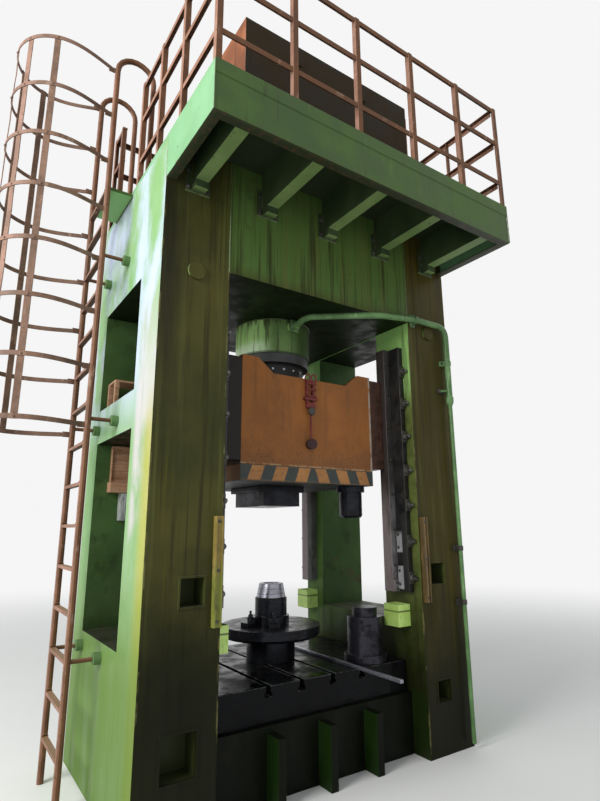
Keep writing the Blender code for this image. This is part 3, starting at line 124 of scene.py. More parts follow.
GLAND_FACE = 3.1047
LOCK_X = -0.02
TRIM = 0.014

# Pockets of the columns' fronts: place along X and Z, half of the width and of the height
POCKETS = (
    (-1.17, 0.47, 0.11, 0.125), (1.12, 0.47, 0.075, 0.08),
    (-1.12, 1.385, 0.08, 0.085), (1.12, 1.385, 0.08, 0.085),
)

# Clamps of the pressure pipe: place along X and Z, the pipe's radius there, and whether it runs upright
PIPE_CLAMPS = (
    (LEG_IN + 0.05, PIPE_Z, PIPE_RADIUS, False), (PIPE_X, 3.29, PIPE_RADIUS, True),
    (PIPE_X, 1.59, THIN_RADIUS, True), (PIPE_X, 1.14, THIN_RADIUS, True),
)

# Directions
UP = (0, 0, 1)
DOWN = (0, 0, -1)
TO_FRONT = (0, -1, 0)
TO_REAR = (0, 1, 0)
TO_RIGHT = (1, 0, 0)

# Edge softening of the CAD solids
WELD = 0.0001
SOFT_EDGE = 0.004
SOFT_ANGLE = 30.0
EDGE_STEPS = 2
THIN_EDGE = 0.001
THIN_NODES = ("drip_pan", "ladder", "railing", "gooseneck", "filler", "guard")
SMOOTH_ANGLE = 35.0


# Materials


class Nodes:
    """Short calls for the nodes of one tree."""

    def __init__(self, tree):
        self.tree = tree
        tree.nodes.clear()

    def put(self, socket, value):
        if isinstance(value, bpy.types.NodeSocket):
            self.tree.links.new(value, socket)
        elif socket.type == "RGBA":
            socket.default_value = (*value, 1.0)
        else:
            socket.default_value = value

    def add(self, kind, *inputs, named=None, **settings):
        """A node with its settings, whose inputs are filled in their order and then by name."""
        node = self.tree.nodes.new("ShaderNode" + kind)
        for key, value in settings.items():
            setattr(node, key, value)
        for socket, value in zip(node.inputs, inputs):
            self.put(socket, value)
        for key, value in (named or {}).items():
            self.put(node.inputs[key], value)
        return node

    def math(self, operation, first, second=0.0):
        return self.add("Math", first, second, operation=operation).outputs[0]


class Shader(Nodes):
    """A Principled material with short calls for the nodes of these looks; CLOUD gives its broad noise."""

    def __init__(self, name, cloud, metallic=0.0, specular=0.5):
        self.material = bpy.data.materials.new(name)
        self.material.use_nodes = True
        super().__init__(self.material.node_tree)
        settings = {"Metallic": metallic, "Specular IOR Level": specular}
        self.surface = self.add("BsdfPrincipled", named=settings)
        self.output = self.add("OutputMaterial", self.surface.outputs["BSDF"])
        where = self.add("TexCoord").outputs
        self.place = where["Object"]
        self.x, self.y, self.z = self.add("SeparateXYZ", self.place).outputs
        self.facing_x, self.facing_y, self.facing_z = self.add("SeparateXYZ", where["Normal"]).outputs
        self.wide = self.math("ABSOLUTE", self.x)
        self.cloud = self.noise(*cloud)
        self.colour = None

    def ramp(self, value, low, high):
        """0 where the value is at low, 1 where it is at high, with a smooth turn between."""
        return self.add("MapRange", value, low, high, interpolation_type="SMOOTHSTEP").outputs["Result"]

    def spread(self, scale, shift):
        """The place with its own scale along each axis; a number means the same on all three."""
        scale = scale if isinstance(scale, tuple) else (scale, scale, scale)
        settings = {"Scale": scale, "Location": (shift, shift, shift)}
        return self.add("Mapping", self.place, named=settings).outputs[0]

    def noise(self, scale, detail=3, roughness=0.55, shift=0):
        settings = {"Scale": 1.0, "Detail": detail, "Roughness": roughness}
        return self.add("TexNoise", self.spread(scale, shift), named=settings).outputs[0]

    def patch(self, low, high, *noise):
        """Noise as patches: 0 where it is at low, 1 where it is at high."""
        return self.ramp(self.noise(*noise), low, high)

    def streaks(self, across, along, low, high, shift):
        """Runs down a wall: noise that is stretched along Z."""
        return self.patch(low, high, (across, across, along), 4, 0.6, shift)

    def spots(self, scale, low, high, shift):
        """Round spots of uneven size: 1 inside a spot, 0 between them."""
        cells = self.add("TexVoronoi", self.spread(scale, shift), named={"Scale": 1.0})
        return self.ramp(cells.outputs["Distance"], high, low)

    def mix(self, share, first, second, kind="RGBA", inputs=slice(6, 8), output=2):
        """A colour between first and second; the node has its own sockets for colours and for numbers."""
        node = self.add("Mix", share, data_type=kind)
        for socket, value in zip(node.inputs[inputs], (first, second)):
            self.put(socket, value)
        return node.outputs[output]

    def blend(self, share, first, second):
        """A number between first and second."""
        return self.mix(share, first, second, "FLOAT", slice(2, 4), 0)

    def tones(self, first, second, low=0.34, high=0.66, noise=None):
        """Two tones in clouds, or mixed by another noise."""
        noise = self.cloud if noise is None else noise
        return self.mix(self.ramp(noise, low, high), first, second)

    def base(self, *tones):
        self.colour = self.tones(*tones)

    def over(self, colour, mask, share, tone):
        """The colour with a tone over it where the mask is, at a share of its strength."""
        return self.mix(self.less(mask, share), colour, tone)

    def cover(self, mask, share, tone):
        self.colour = self.over(self.colour, mask, share, tone)

    def both(self, first, second):
        return self.math("MULTIPLY", first, second)

    def either(self, first, second):
        return self.math("MAXIMUM", first, second)

    def less(self, mask, share):
        """The mask at a share of its strength."""
        return self.math("MULTIPLY", mask, share)

    def off(self, value):
        return self.math("SUBTRACT", 1.0, value)

    def ragged(self, value, noise, share):
        """The value with a share of the noise added, for a border that wanders."""
        return self.math("ADD", value, self.less(noise, share))

    def near(self, value, target, width):
        """1 at the target and 0 from width away."""
        gap = self.math("ABSOLUTE", self.math("SUBTRACT", value, target))
        return self.ramp(gap, width, width * 0.3)

    def side(self):
        return self.ramp(self.math("ABSOLUTE", self.facing_x), 0.5, 0.75)

    def under(self):
        return self.ramp(self.facing_z, -0.5, -0.75)

    def top(self):
        return self.ramp(self.facing_z, 0.5, 0.75)

    def finish(self, smooth, rough, height, strength, distance, shine=None):
        """Fills the surface: its colour, a roughness that follows the clouds or SHINE, and a bump."""
        bump = self.add("Bump", named={"Strength": strength, "Distance": distance, "Height": height})
        shine = self.ramp(self.cloud, 0.3, 0.7) if shine is None else shine
        roughness = self.blend(shine, smooth, rough)
        self.put(self.surface.inputs["Base Color"], self.colour)
        self.put(self.surface.inputs["Roughness"], roughness)
        self.put(self.surface.inputs["Normal"], bump.outputs[0])
        return self.material


def front_tones(s, small, right, dark):
    """Oily olive column fronts with runs of green, gold and black, under a cleaner green crown, with a
    band of painted shade on the left.
    """
    front = s.tones((0.038, 0.041, 0.011), (0.069, 0.066, 0.017), 0.36, 0.66)
    crown = s.both(s.ramp(s.z, 3.55, 3.75), s.ramp(s.wide, 0.96, 0.88))
    front = s.over(front, crown, 0.85, (0.074, 0.142, 0.034))
    front = s.over(front, right, 0.6, (0.05, 0.036, 0.003))
    light = s.streaks(11, 0.42, 0.53, 0.66, 7)
    front = s.over(front, light, 0.5, (0.098, 0.102, 0.027))
    gold = s.streaks(26, 0.55, 0.6, 0.72, 61)
    front = s.over(front, gold, 0.45, (0.105, 0.088, 0.012))
    front = s.over(front, dark, 0.75, (0.024, 0.019, 0.008))
    thin = s.streaks(55, 1, 0.58, 0.7, 43)
    front = s.over(front, thin, 0.5, (0.016, 0.011, 0.006))
    # Painted shade: a near-black band down the outer part of the left column's front, from about 2.1 m up.
    shade = s.ragged(s.x, s.noise((1, 1, 2.2), 4, 0.6, 53), 0.18)
    band = s.both(s.ramp(shade, -1.1, -1.3), s.ramp(s.z, 2.1, 3.3))
    front = s.over(front, band, 0.72, (0.012, 0.011, 0.008))
    return s.over(front, s.ramp(small, 0.56, 0.7), 0.3, (0.03, 0.036, 0.012))


def side_tones(s):
    """Outer sides: a painted pale reflection above, a painted pale sheen by the front edge, yellow along
    it and grimy below.
    """
    side = s.tones((0.18, 0.35, 0.13), (0.24, 0.4, 0.185), 0.3, 0.7)
    # Painted reflection: bluish white patches high on the outer sides.
    painted_reflection_high = s.both(s.ramp(s.z, 2.3, 3.0), s.patch(0.4, 0.62, (1.3, 1.9, 1), 5, 0.62, 25))
    side = s.over(side, painted_reflection_high, 0.78, (0.53, 0.58, 0.8))
    # Painted sheen: pale patches on the front part of the outer sides, mostly between 1.9 m and 2.4 m up.
    column = s.both(s.ramp(s.y, -0.42, -0.52), s.both(s.ramp(s.z, 3.9, 2.4), s.ramp(s.z, 1.0, 1.9)))
    painted_sheen = s.patch(0.34, 0.56, (2, 2.4, 1.3), 5, 0.6, 31)
    side = s.over(side, s.both(column, painted_sheen), 0.82, (0.55, 0.5, 0.52))
    stripe = s.both(s.ramp(s.y, -0.6, -0.78), s.ramp(s.math("ADD", s.z, s.cloud), 3.4, 2.6))
    side = s.over(side, stripe, 0.78, (0.38, 0.37, 0.036))
    low = s.ramp(s.ragged(s.z, s.cloud, 0.8), 2.2, 1.1)
    side = s.over(side, low, 0.85, (0.11, 0.19, 0.03))
    grime = s.streaks(9, 0.5, 0.56, 0.74, 12)
    return s.over(side, grime, 0.35, (0.12, 0.19, 0.06))


def inner_tones(s, small):
    """Sides that face the slide: painted light makes them bright above the ways; below them they are a
    darker olive, with oily runs over both.
    """
    high = s.tones((0.25, 0.48, 0.135), (0.34, 0.58, 0.19), 0.3, 0.7)
    low = s.tones((0.062, 0.082, 0.02), (0.108, 0.132, 0.034), 0.36, 0.66, small)
    # Painted light: a bright lit green above about 3 m, a darker olive below.
    inner = s.mix(s.ramp(s.ragged(s.z, s.cloud, 0.6), 3.0, 3.6), low, high)
    rear_leg = s.both(s.ramp(s.y, 0.1, 0.3), s.ramp(s.z, 0.5, 1.0))
    inner = s.over(inner, rear_leg, 0.6, (0.105, 0.23, 0.06))
    return s.over(inner, s.streaks(14, 0.8, 0.54, 0.7, 71), 0.6, (0.036, 0.036, 0.014))


def deep_tones(s, small):
    """Faces behind the fronts: green darkened as painted shade, with bare patches near the floor."""
    deep = s.tones((0.046, 0.098, 0.028), (0.078, 0.146, 0.046), 0.32, 0.68)
    deep = s.over(deep, s.ramp(small, 0.54, 0.7), 0.5, (0.026, 0.04, 0.014))
    bare = s.both(s.patch(0.6, 0.64, (3, 3, 2), 5, 0.7, 91), s.ramp(s.z, 1.9, 1.5))
    return s.over(deep, bare, 0.6, (0.105, 0.07, 0.04))


def frame_paint():
    """The green of the columns, crown and bed, which is another green on each way that they face: oil and
    wear, and painted light and shade.
    """
    s = Shader("frame green paint", (1.1, 4, 0.6, 3), specular=0.12)
    small = s.noise(6, 5, 0.65, 8)
    fine = s.noise(38, 3, 0.6, 1)
    right = s.ramp(s.x, 0.88, 0.98)
    dark = s.streaks(17, 0.65, 0.5, 0.68, 21)
    front = front_tones(s, small, right, dark)
    side = s.mix(s.ramp(s.wide, LEG_OUT - 0.03, LEG_OUT - 0.06), side_tones(s), inner_tones(s, small))
    deep = deep_tones(s, small)
    back = s.tones((0.12, 0.235, 0.075), (0.18, 0.33, 0.115), 0.3, 0.7)
    back = s.over(back, dark, 0.5, (0.055, 0.075, 0.026))
    # Painted shade: faces set back from the columns' front and rear planes take the darker deep_tones.
    flat = s.mix(s.ramp(s.y, -0.815, -0.79), front, deep)
    flat = s.mix(s.ramp(s.facing_y, 0.3, 0.6), flat, s.mix(s.ramp(s.y, 0.79, 0.815), deep, back))

    s.colour = s.mix(s.side(), flat, side)
    # Painted shade: the frame's undersides go near black.
    underside_painted_shade = s.tones((0.005, 0.009, 0.002), (0.009, 0.016, 0.004), 0.3, 0.7)
    s.colour = s.mix(s.under(), s.colour, underside_painted_shade)
    boss = s.both(s.ramp(s.y, FRONT - 0.002, FRONT - 0.004), s.ramp(s.z, 3.4, 3.45))
    s.cover(boss, 0.9, front)
    dust = s.tones((0.09, 0.09, 0.06), (0.15, 0.15, 0.11), 0.3, 0.7, fine)
    s.cover(s.top(), 0.8, dust)
    # Grime toward the floor, deepened to near black as painted shade; outer sides are left out, and the
    # right column and the rear get less.
    height = s.ragged(s.math("ADD", s.z, s.cloud), right, 0.45)
    grime_and_painted_shade = s.both(s.ramp(height, 2.45, 1.12), s.off(s.both(s.side(), s.ramp(s.wide, 1.41, 1.43))))
    grime_and_painted_shade = s.both(grime_and_painted_shade, s.blend(s.ramp(s.y, 0.45, 0.75), 1.0, 0.3))
    s.cover(grime_and_painted_shade, 0.9, (0.004, 0.005, 0.001))
    # Painted shade: the bed between the columns, below the bolster, goes near black; the side faces of its
    # front ribs keep a little painted light.
    bed = s.both(s.ramp(s.wide, 0.925, 0.915), s.ramp(s.z, 0.48, 0.46))
    ribs = s.both(s.side(), s.ramp(s.y, -0.6, -0.66))
    bed_painted_shade = s.over((0.002, 0.003, 0.001), ribs, 0.8, (0.01, 0.03, 0.004))
    bed_painted_shade = s.over(bed_painted_shade, s.ramp(small, 0.54, 0.68), 0.6, (0.007, 0.008, 0.004))
    s.cover(bed, 0.92, bed_painted_shade)
    # Painted shade: the insides of the pockets in the column fronts are darkened.
    box = s.both(s.ramp(s.y, -0.822, -0.8), s.both(s.ramp(s.y, -0.6, -0.64), s.ramp(s.z, 1.6, 1.5)))
    box = s.both(box, s.both(s.ramp(s.wide, 0.96, 0.98), s.ramp(s.wide, 1.38, 1.36)))
    s.cover(box, 0.92, (0.034, 0.042, 0.014))

    outline = s.either(s.near(s.wide, LEG_OUT, 0.016), s.near(s.wide, LEG_IN, 0.016))
    corner = s.both(outline, s.near(s.math("ABSOLUTE", s.y), -FRONT, 0.016))
    chips = s.patch(0.5, 0.6, (16, 16, 5), 5, 0.7, 9)
    s.cover(s.both(corner, chips), 0.7, (0.17, 0.155, 0.06))
    scratch = s.patch(0.66, 0.72, (30, 30, 18), 6, 0.8, 30)
    s.cover(scratch, 0.35, (0.025, 0.022, 0.014))
    height = s.ragged(s.less(fine, 0.6), s.noise(5, 2), 0.7)
    return s.finish(0.36, 0.62, height, 0.3, 0.0025, s.patch(0.35, 0.7, (8, 8, 1.2), 3, 0.5, 5))


def walkway_paint():
    """The walkway's apple green with painted light and shade: bright on its ends, dim on its front, dark
    below.
    """
    s = Shader("walkway green paint", (2.2, 4, 0.6, 14), specular=0.3)
    fine = s.noise(60, 3, 0.6, 1)
    front = s.tones((0.038, 0.082, 0.015), (0.062, 0.124, 0.024), 0.35, 0.68)
    drip = s.streaks(34, 1.6, 0.58, 0.72, 4)
    front = s.over(front, drip, 0.6, (0.026, 0.034, 0.014))
    pale = s.streaks(20, 2, 0.6, 0.72, 50)
    front = s.over(front, pale, 0.35, (0.095, 0.165, 0.04))
    # Painted light: the ends are a bright lit copy of the front's green.
    side = s.tones((0.155, 0.345, 0.16), (0.205, 0.42, 0.22), 0.35, 0.68)
    side = s.over(side, drip, 0.35, (0.12, 0.22, 0.08))
    s.colour = s.mix(s.side(), front, side)
    # Painted shade: the undersides are dark.
    s.colour = s.mix(s.under(), s.colour, (0.03, 0.042, 0.018))
    # Painted light: undersides left of the frame are a bright green.
    lit_outside_underside = s.both(s.under(), s.ramp(s.x, -1.445, -1.455))
    s.cover(lit_outside_underside, 0.9, (0.23, 0.47, 0.16))
    # Painted shade: faces behind the fascia, below the deck top, are darkened.
    inner = s.both(s.ramp(s.z, 4.6, 4.54), s.ramp(s.wide, 1.424, 1.4))
    shaded_within = s.both(inner, s.ramp(s.y, -1.606, -1.59))
    s.cover(shaded_within, 0.85, (0.018, 0.027, 0.012))
    tread = s.tones((0.09, 0.11, 0.06), (0.15, 0.16, 0.11), 0.35, 0.65, fine)
    s.colour = s.mix(s.top(), s.colour, tread)
    scuff = s.patch(0.62, 0.7, (14, 14, 30), 6, 0.75, 8)
    s.cover(scuff, 0.55, (0.045, 0.04, 0.024))
    rim = s.either(s.near(s.z, FASCIA_TOP, 0.009), s.near(s.z, FASCIA_LOW, 0.012))
    chips = s.patch(0.5, 0.6, 26, 5, 0.7, 9)
    s.cover(s.both(rim, chips), 0.7, (0.07, 0.04, 0.022))
    return s.finish(0.38, 0.6, fine, 0.25, 0.0015)


def beam_paint():
    """The cantilever beams: lighter olive undersides as painted light, between sides darkened as painted
    shade.
    """
    s = Shader("beam green paint", (3, 4, 0.62, 24), specular=0.3)
    # Painted light and shade: dark sides and a lit, lighter underside of one paint.
    side = s.tones((0.024, 0.04, 0.016), (0.044, 0.07, 0.026), 0.35, 0.68)
    below = s.tones((0.12, 0.19, 0.062), (0.17, 0.25, 0.088), 0.35, 0.68)
    s.colour = s.mix(s.under(), side, below)
    foot = s.ramp(s.y, -0.9, -0.86)
    s.cover(foot, 0.8, (0.034, 0.046, 0.02))
    scuff = s.patch(0.58, 0.68, (14, 14, 14), 6, 0.75, 8)
    s.cover(scuff, 0.6, (0.034, 0.034, 0.02))
    return s.finish(0.4, 0.62, s.noise(60), 0.25, 0.0015)


def cylinder_paint():
    """The big cylinder: painted light on its left side with a near-white painted highlight low on it,
    painted shade on its right, and oil that ran down from its head.
    """
    s = Shader("cylinder green paint", (3, 4, 0.6, 2), specular=0.3)
    # Painted shade: the right-facing side is darker.
    right = s.ramp(s.facing_x, -0.2, 0.35)
    s.base((0.11, 0.2, 0.06), (0.17, 0.29, 0.09), 0.35, 0.68)
    s.cover(right, 0.85, (0.034, 0.068, 0.014))
    # Painted light: the left-facing side is a bright lit green.
    left = s.ramp(s.facing_x, -0.45, -0.85)
    s.cover(left, 0.8, (0.56, 0.92, 0.32))
    # Painted highlight: near white low on the left side.
    pale = s.both(left, s.ramp(s.ragged(s.z, s.cloud, -0.1), 3.42, 3.3))
    s.cover(pale, 0.75, (0.8, 0.98, 0.72))
    drip = s.streaks(34, 1.6, 0.55, 0.66, 6)
    s.cover(drip, 0.7, (0.04, 0.05, 0.02))
    head = s.ramp(s.ragged(s.z, s.noise((34, 34, 2), 3, 0.5, 44), -0.4), 3.36, 3.45)
    s.cover(head, 0.78, (0.026, 0.022, 0.012))
    ring = s.ramp(s.z, 3.313, 3.307)
    grey = s.tones((0.036, 0.038, 0.038), (0.08, 0.082, 0.082), 0.35, 0.68)
    s.colour = s.mix(ring, s.colour, grey)
    # Painted shadow: a dark line at the cylinder's foot, above the grey ring.
    lip = s.near(s.z, 3.318, 0.01)
    s.cover(lip, 0.7, (0.026, 0.03, 0.018))
    scuff = s.patch(0.62, 0.7, 20, 6, 0.75, 8)
    s.cover(scuff, 0.4, (0.085, 0.07, 0.04))
    return s.finish(0.3, 0.55, s.noise(45), 0.2, 0.0015)


def pipe_paint():
    s = Shader("pipe green paint", (6, 4, 0.6, 2), specular=0.3)
    s.base((0.075, 0.16, 0.056), (0.14, 0.265, 0.1), 0.35, 0.68)
    worn = s.patch(0.58, 0.66, (30, 30, 9), 5, 0.75, 3)
    s.cover(worn, 0.6, (0.06, 0.062, 0.035))
    # Damp runs, lightened as a painted sheen.
    wet_run_sheen = s.patch(0.6, 0.7, (40, 40, 5), 3, 0.5, 17)
    s.cover(wet_run_sheen, 0.5, (0.3, 0.47, 0.24))
    return s.finish(0.28, 0.52, s.noise(90), 0.2, 0.0008)


def pan_paint():
    """Yellow-green sheet pans, black with oil inside and along the lip."""
    s = Shader("pan green paint", (9, 4, 0.6, 2), specular=0.45)
    s.base((0.5, 0.74, 0.17), (0.62, 0.84, 0.27), 0.35, 0.68)
    inside = s.ramp(s.facing_z, 0.4, 0.7)
    s.cover(inside, 0.75, (0.03, 0.032, 0.018))
    lip = s.near(s.z, 1.085, 0.01)
    s.cover(lip, 0.85, (0.06, 0.075, 0.02))
    run = s.streaks(60, 9, 0.57, 0.68, 3)
    s.cover(run, 0.5, (0.09, 0.11, 0.03))
    # Painted shade: the side faces at the ends are a darker olive.
    s.cover(s.side(), 0.45, (0.19, 0.27, 0.06))
    return s.finish(0.3, 0.55, s.noise(70), 0.2, 0.001)


def slide_paint():
    """The slide's dull orange, with oily runs, low grime, a scraped right edge and painted shade on its
    recesses, undersides and sides.
    """
    s = Shader("slide orange paint", (2.4, 4, 0.62, 5), specular=0.22)
    fine = s.noise(42, 3, 0.6, 1)
    s.base((0.222, 0.08, 0.02), (0.3, 0.115, 0.03))
    run = s.streaks(13, 1, 0.54, 0.7, 8)
    s.cover(run, 0.5, (0.14, 0.06, 0.024))
    low = s.ramp(s.ragged(s.z, s.cloud, 0.35), 2.68, 2.38)
    s.cover(low, 0.5, (0.135, 0.064, 0.028))
    dots = s.both(s.spots(34, 0.14, 0.24, 5), s.ramp(s.z, 2.52, 2.34))
    s.cover(dots, 0.75, (0.05, 0.03, 0.018))
    oil = s.patch(0.56, 0.7, (5, 5, 2.2), 5, 0.7, 19)
    s.cover(oil, 0.45, (0.11, 0.052, 0.024))
    rim = s.both(s.near(s.z, SLIDE_LOW, 0.02), s.patch(0.4, 0.55, 24, 4, 0.7))
    s.cover(rim, 0.8, (0.4, 0.27, 0.15))
    edge = s.both(s.near(s.x, 0.648, 0.016), s.patch(0.38, 0.52, (9, 9, 7), 5, 0.7, 2))
    front = s.ramp(s.facing_y, -0.4, -0.7)
    s.cover(s.both(edge, front), 0.85, (0.36, 0.33, 0.27))
    # Painted shade: faces set back behind the slide's front are darkened.
    inside = s.both(s.ramp(s.wide, 0.655, 0.64), s.ramp(s.y, -0.56, -0.54))
    s.cover(inside, 0.55, (0.085, 0.044, 0.02))
    # Painted shade: the undersides are dark.
    s.cover(s.under(), 0.8, (0.04, 0.026, 0.016))
    # Painted shade: the side faces go dark brown on the right and near black on the left.
    shaded_flank = s.mix(s.ramp(s.x, 0.1, -0.1), (0.052, 0.024, 0.01), (0.01, 0.007, 0.004))
    s.cover(s.side(), 0.85, shaded_flank)
    scratch = s.patch(0.65, 0.71, (26, 26, 10), 6, 0.8, 30)
    s.cover(scratch, 0.5, (0.055, 0.034, 0.022))
    return s.finish(0.42, 0.66, fine, 0.25, 0.0015)


def band_paint():
    """The slide's lower plate: a hazard band of slanted orange and dark stripes."""
    s = Shader("hazard band paint", (5, 4, 0.62, 5), specular=0.4)
    out = s.math("ABSOLUTE", s.math("SUBTRACT", s.x, BAND_CENTRE))
    drop = s.math("SUBTRACT", PLATE_TOP, s.z)
    along = s.ragged(out, drop, -BAND_SLANT)
    wobble = s.less(s.math("SUBTRACT", s.noise(18, 2), 0.5), 0.012)
    turn = s.math("DIVIDE", s.math("ADD", s.math("SUBTRACT", along, BAND_START), wobble), BAND_PITCH)
    part = s.math("FRACT", s.math("ADD", turn, 4.0))
    stripe = s.both(s.ramp(part, 0.0, 0.012), s.ramp(part, BAND_SHARE, BAND_SHARE - 0.012))
    orange = s.tones((0.3, 0.13, 0.036), (0.4, 0.185, 0.06), 0.35, 0.65)
    dark = s.tones((0.022, 0.03, 0.028), (0.04, 0.05, 0.044), 0.35, 0.65)
    s.colour = s.mix(stripe, dark, orange)
    facing = s.ramp(s.math("ABSOLUTE", s.facing_y), 0.5, 0.75)
    plain = s.tones((0.14, 0.066, 0.03), (0.19, 0.09, 0.04), 0.35, 0.65)
    s.colour = s.mix(facing, plain, s.colour)
    lip = s.either(s.near(s.z, PLATE_TOP, 0.01), s.near(s.z, PLATE_LOW, 0.018))
    s.cover(s.both(lip, facing), 0.75, (0.11, 0.07, 0.04))
    spot = s.spots(26, 0.12, 0.22, 3)
    s.cover(spot, 0.6, (0.045, 0.03, 0.02))
    worn = s.patch(0.58, 0.66, (18, 18, 40), 6, 0.75, 3)
    s.cover(worn, 0.45, (0.075, 0.06, 0.045))
    # Painted shade: the plate's undersides go near black.
    s.colour = s.mix(s.under(), s.colour, (0.01, 0.01, 0.01))
    return s.finish(0.45, 0.7, s.noise(50), 0.25, 0.0012)


def rail_paint():
    """Rust-orange primer on the railings, ladder and cage: pale on side faces as painted light, brown
    elsewhere, with painted shade below and painted highlights.
    """
    s = Shader("rail orange primer", (4, 4, 0.62, 5), specular=0.25)
    # Painted light: side faces are a pale lit copy of the brown primer.
    front = s.tones((0.105, 0.045, 0.02), (0.165, 0.075, 0.036))
    side = s.tones((0.225, 0.108, 0.066), (0.33, 0.18, 0.128))
    s.colour = s.mix(s.side(), front, side)
    # Painted shade: the undersides are darker.
    s.cover(s.under(), 0.75, (0.06, 0.028, 0.016))
    cage = s.ramp(s.x, -1.66, -1.7)
    hoops = s.tones((0.115, 0.08, 0.062), (0.25, 0.165, 0.13))
    s.cover(cage, 0.55, hoops)
    rust = s.patch(0.54, 0.66, 22, 6, 0.75, 3)
    s.cover(rust, 0.6, (0.08, 0.034, 0.018))
    # Painted highlights: pale pink patches.
    pale = s.patch(0.6, 0.7, (14, 14, 5), 4, 0.65, 33)
    s.cover(pale, 0.35, (0.44, 0.3, 0.22))
    rung = s.both(s.ramp(s.facing_z, 0.6, 0.85), s.ramp(s.x, -1.45, -1.5))
    s.cover(rung, 0.55, (0.36, 0.23, 0.13))
    foot = s.both(s.ramp(s.x, -1.505, -1.49), s.ramp(s.z, 4.5, 4.44))
    s.cover(foot, 0.9, (0.09, 0.19, 0.065))
    return s.finish(0.5, 0.78, s.noise(80, 4), 0.3, 0.0008)


def tank_paint():
    """Matt brown primer: near black on its front as painted shade and orange on both ends as painted
    light.
    """
    s = Shader("tank brown primer", (2.6, 5, 0.62, 5), specular=0.15)
    # Painted light and shade: a dark front and bright orange ends of one primer.
    front = s.tones((0.015, 0.01, 0.004), (0.029, 0.019, 0.008))
    side = s.tones((0.185, 0.062, 0.026), (0.33, 0.125, 0.06))
    s.colour = s.mix(s.side(), front, side)
    run = s.streaks(13, 0.9, 0.55, 0.7, 8)
    s.cover(run, 0.5, (0.03, 0.02, 0.012))
    s.cover(s.near(s.z, 4.64, 0.05), 0.6, (0.022, 0.018, 0.012))
    dust = s.ramp(s.facing_z, 0.5, 0.8)
    s.cover(dust, 0.6, (0.12, 0.096, 0.07))
    return s.finish(0.55, 0.8, s.noise(48, 4), 0.3, 0.0015)


def lock_paint():
    """Dark red for the lock, black toward its knob; the shoes share it under old grease."""
    s = Shader("lock red paint", (14, 4, 0.62, 5), specular=0.25)
    s.base((0.11, 0.018, 0.016), (0.19, 0.036, 0.03))
    knob = s.both(s.ramp(s.z, 2.5, 2.47), s.ramp(s.wide, 0.3, 0.2))
    s.cover(knob, 0.85, (0.022, 0.012, 0.014))
    worn = s.patch(0.54, 0.64, 60, 5, 0.75, 3)
    s.cover(worn, 0.7, (0.045, 0.022, 0.018))
    black = s.tones((0.005, 0.004, 0.003), (0.013, 0.009, 0.007))
    brown = s.tones((0.03, 0.013, 0.008), (0.062, 0.026, 0.016))
    shoe = s.mix(s.ramp(s.x, -0.1, 0.1), black, brown)
    s.colour = s.mix(s.ramp(s.wide, 0.6, 0.66), s.colour, shoe)
    return s.finish(0.35, 0.6, s.noise(90), 0.25, 0.0008)


def gib_paint():
    """Black oiled housings; only their shims are bare."""
    s = Shader("oiled black steel", (7, 4, 0.62, 5), metallic=0.25)
    s.base((0.007, 0.007, 0.007), (0.017, 0.016, 0.015))
    grease = s.patch(0.56, 0.68, (18, 18, 6), 5, 0.7, 3)
    s.cover(grease, 0.5, (0.05, 0.034, 0.02))
    worn = s.patch(0.62, 0.7, 50, 6, 0.8, 12)
    s.cover(worn, 0.6, (0.09, 0.086, 0.082))
    shim = s.both(s.ramp(s.wide, SHIM_BACK, SHIM_BACK - 0.001), s.ramp(s.z, 1.75, 1.7))
    light = s.tones((0.28, 0.275, 0.285), (0.42, 0.415, 0.43))
    s.cover(shim, 0.9, light)
    return s.finish(0.3, 0.55, s.noise(70), 0.25, 0.0008)


def ground_steel(name, dark, light, oil, shine, rough):
    """Machined steel: fine upright lines with oil stains over them."""
    s = Shader(name, (5, 4, 0.62, 5), metallic=shine)
    lines = s.noise((240, 240, 3), 4, 0.7, 3)
    s.base(dark, light, 0.3, 0.7, lines)
    stain = s.patch(0.5, 0.68, 7, 5, 0.7, 12)
    s.cover(stain, 0.7, oil)
    return s.finish(rough, rough + 0.25, lines, 0.15, 0.0004)


def way_steel():
    """The guide ways: pinkish ground running faces below the slide's travel, grey greased fronts."""
    s = Shader("way steel", (4, 4, 0.62, 5), metallic=0.35)
    lines = s.noise((200, 200, 4), 4, 0.7, 3)
    ground = s.tones((0.12, 0.09, 0.092), (0.215, 0.165, 0.165), 0.3, 0.7, lines)
    front = s.tones((0.13, 0.124, 0.128), (0.22, 0.21, 0.216))
    s.colour = s.mix(s.side(), front, ground)
    grease = s.patch(0.54, 0.68, (16, 16, 4), 5, 0.7, 3)
    s.cover(grease, 0.6, (0.036, 0.028, 0.022))
    high = s.ramp(s.ragged(s.z, s.cloud, 0.4), 2.1, 2.45)
    s.cover(high, 0.8, (0.022, 0.018, 0.015))
    return s.finish(0.26, 0.5, lines, 0.15, 0.0004)


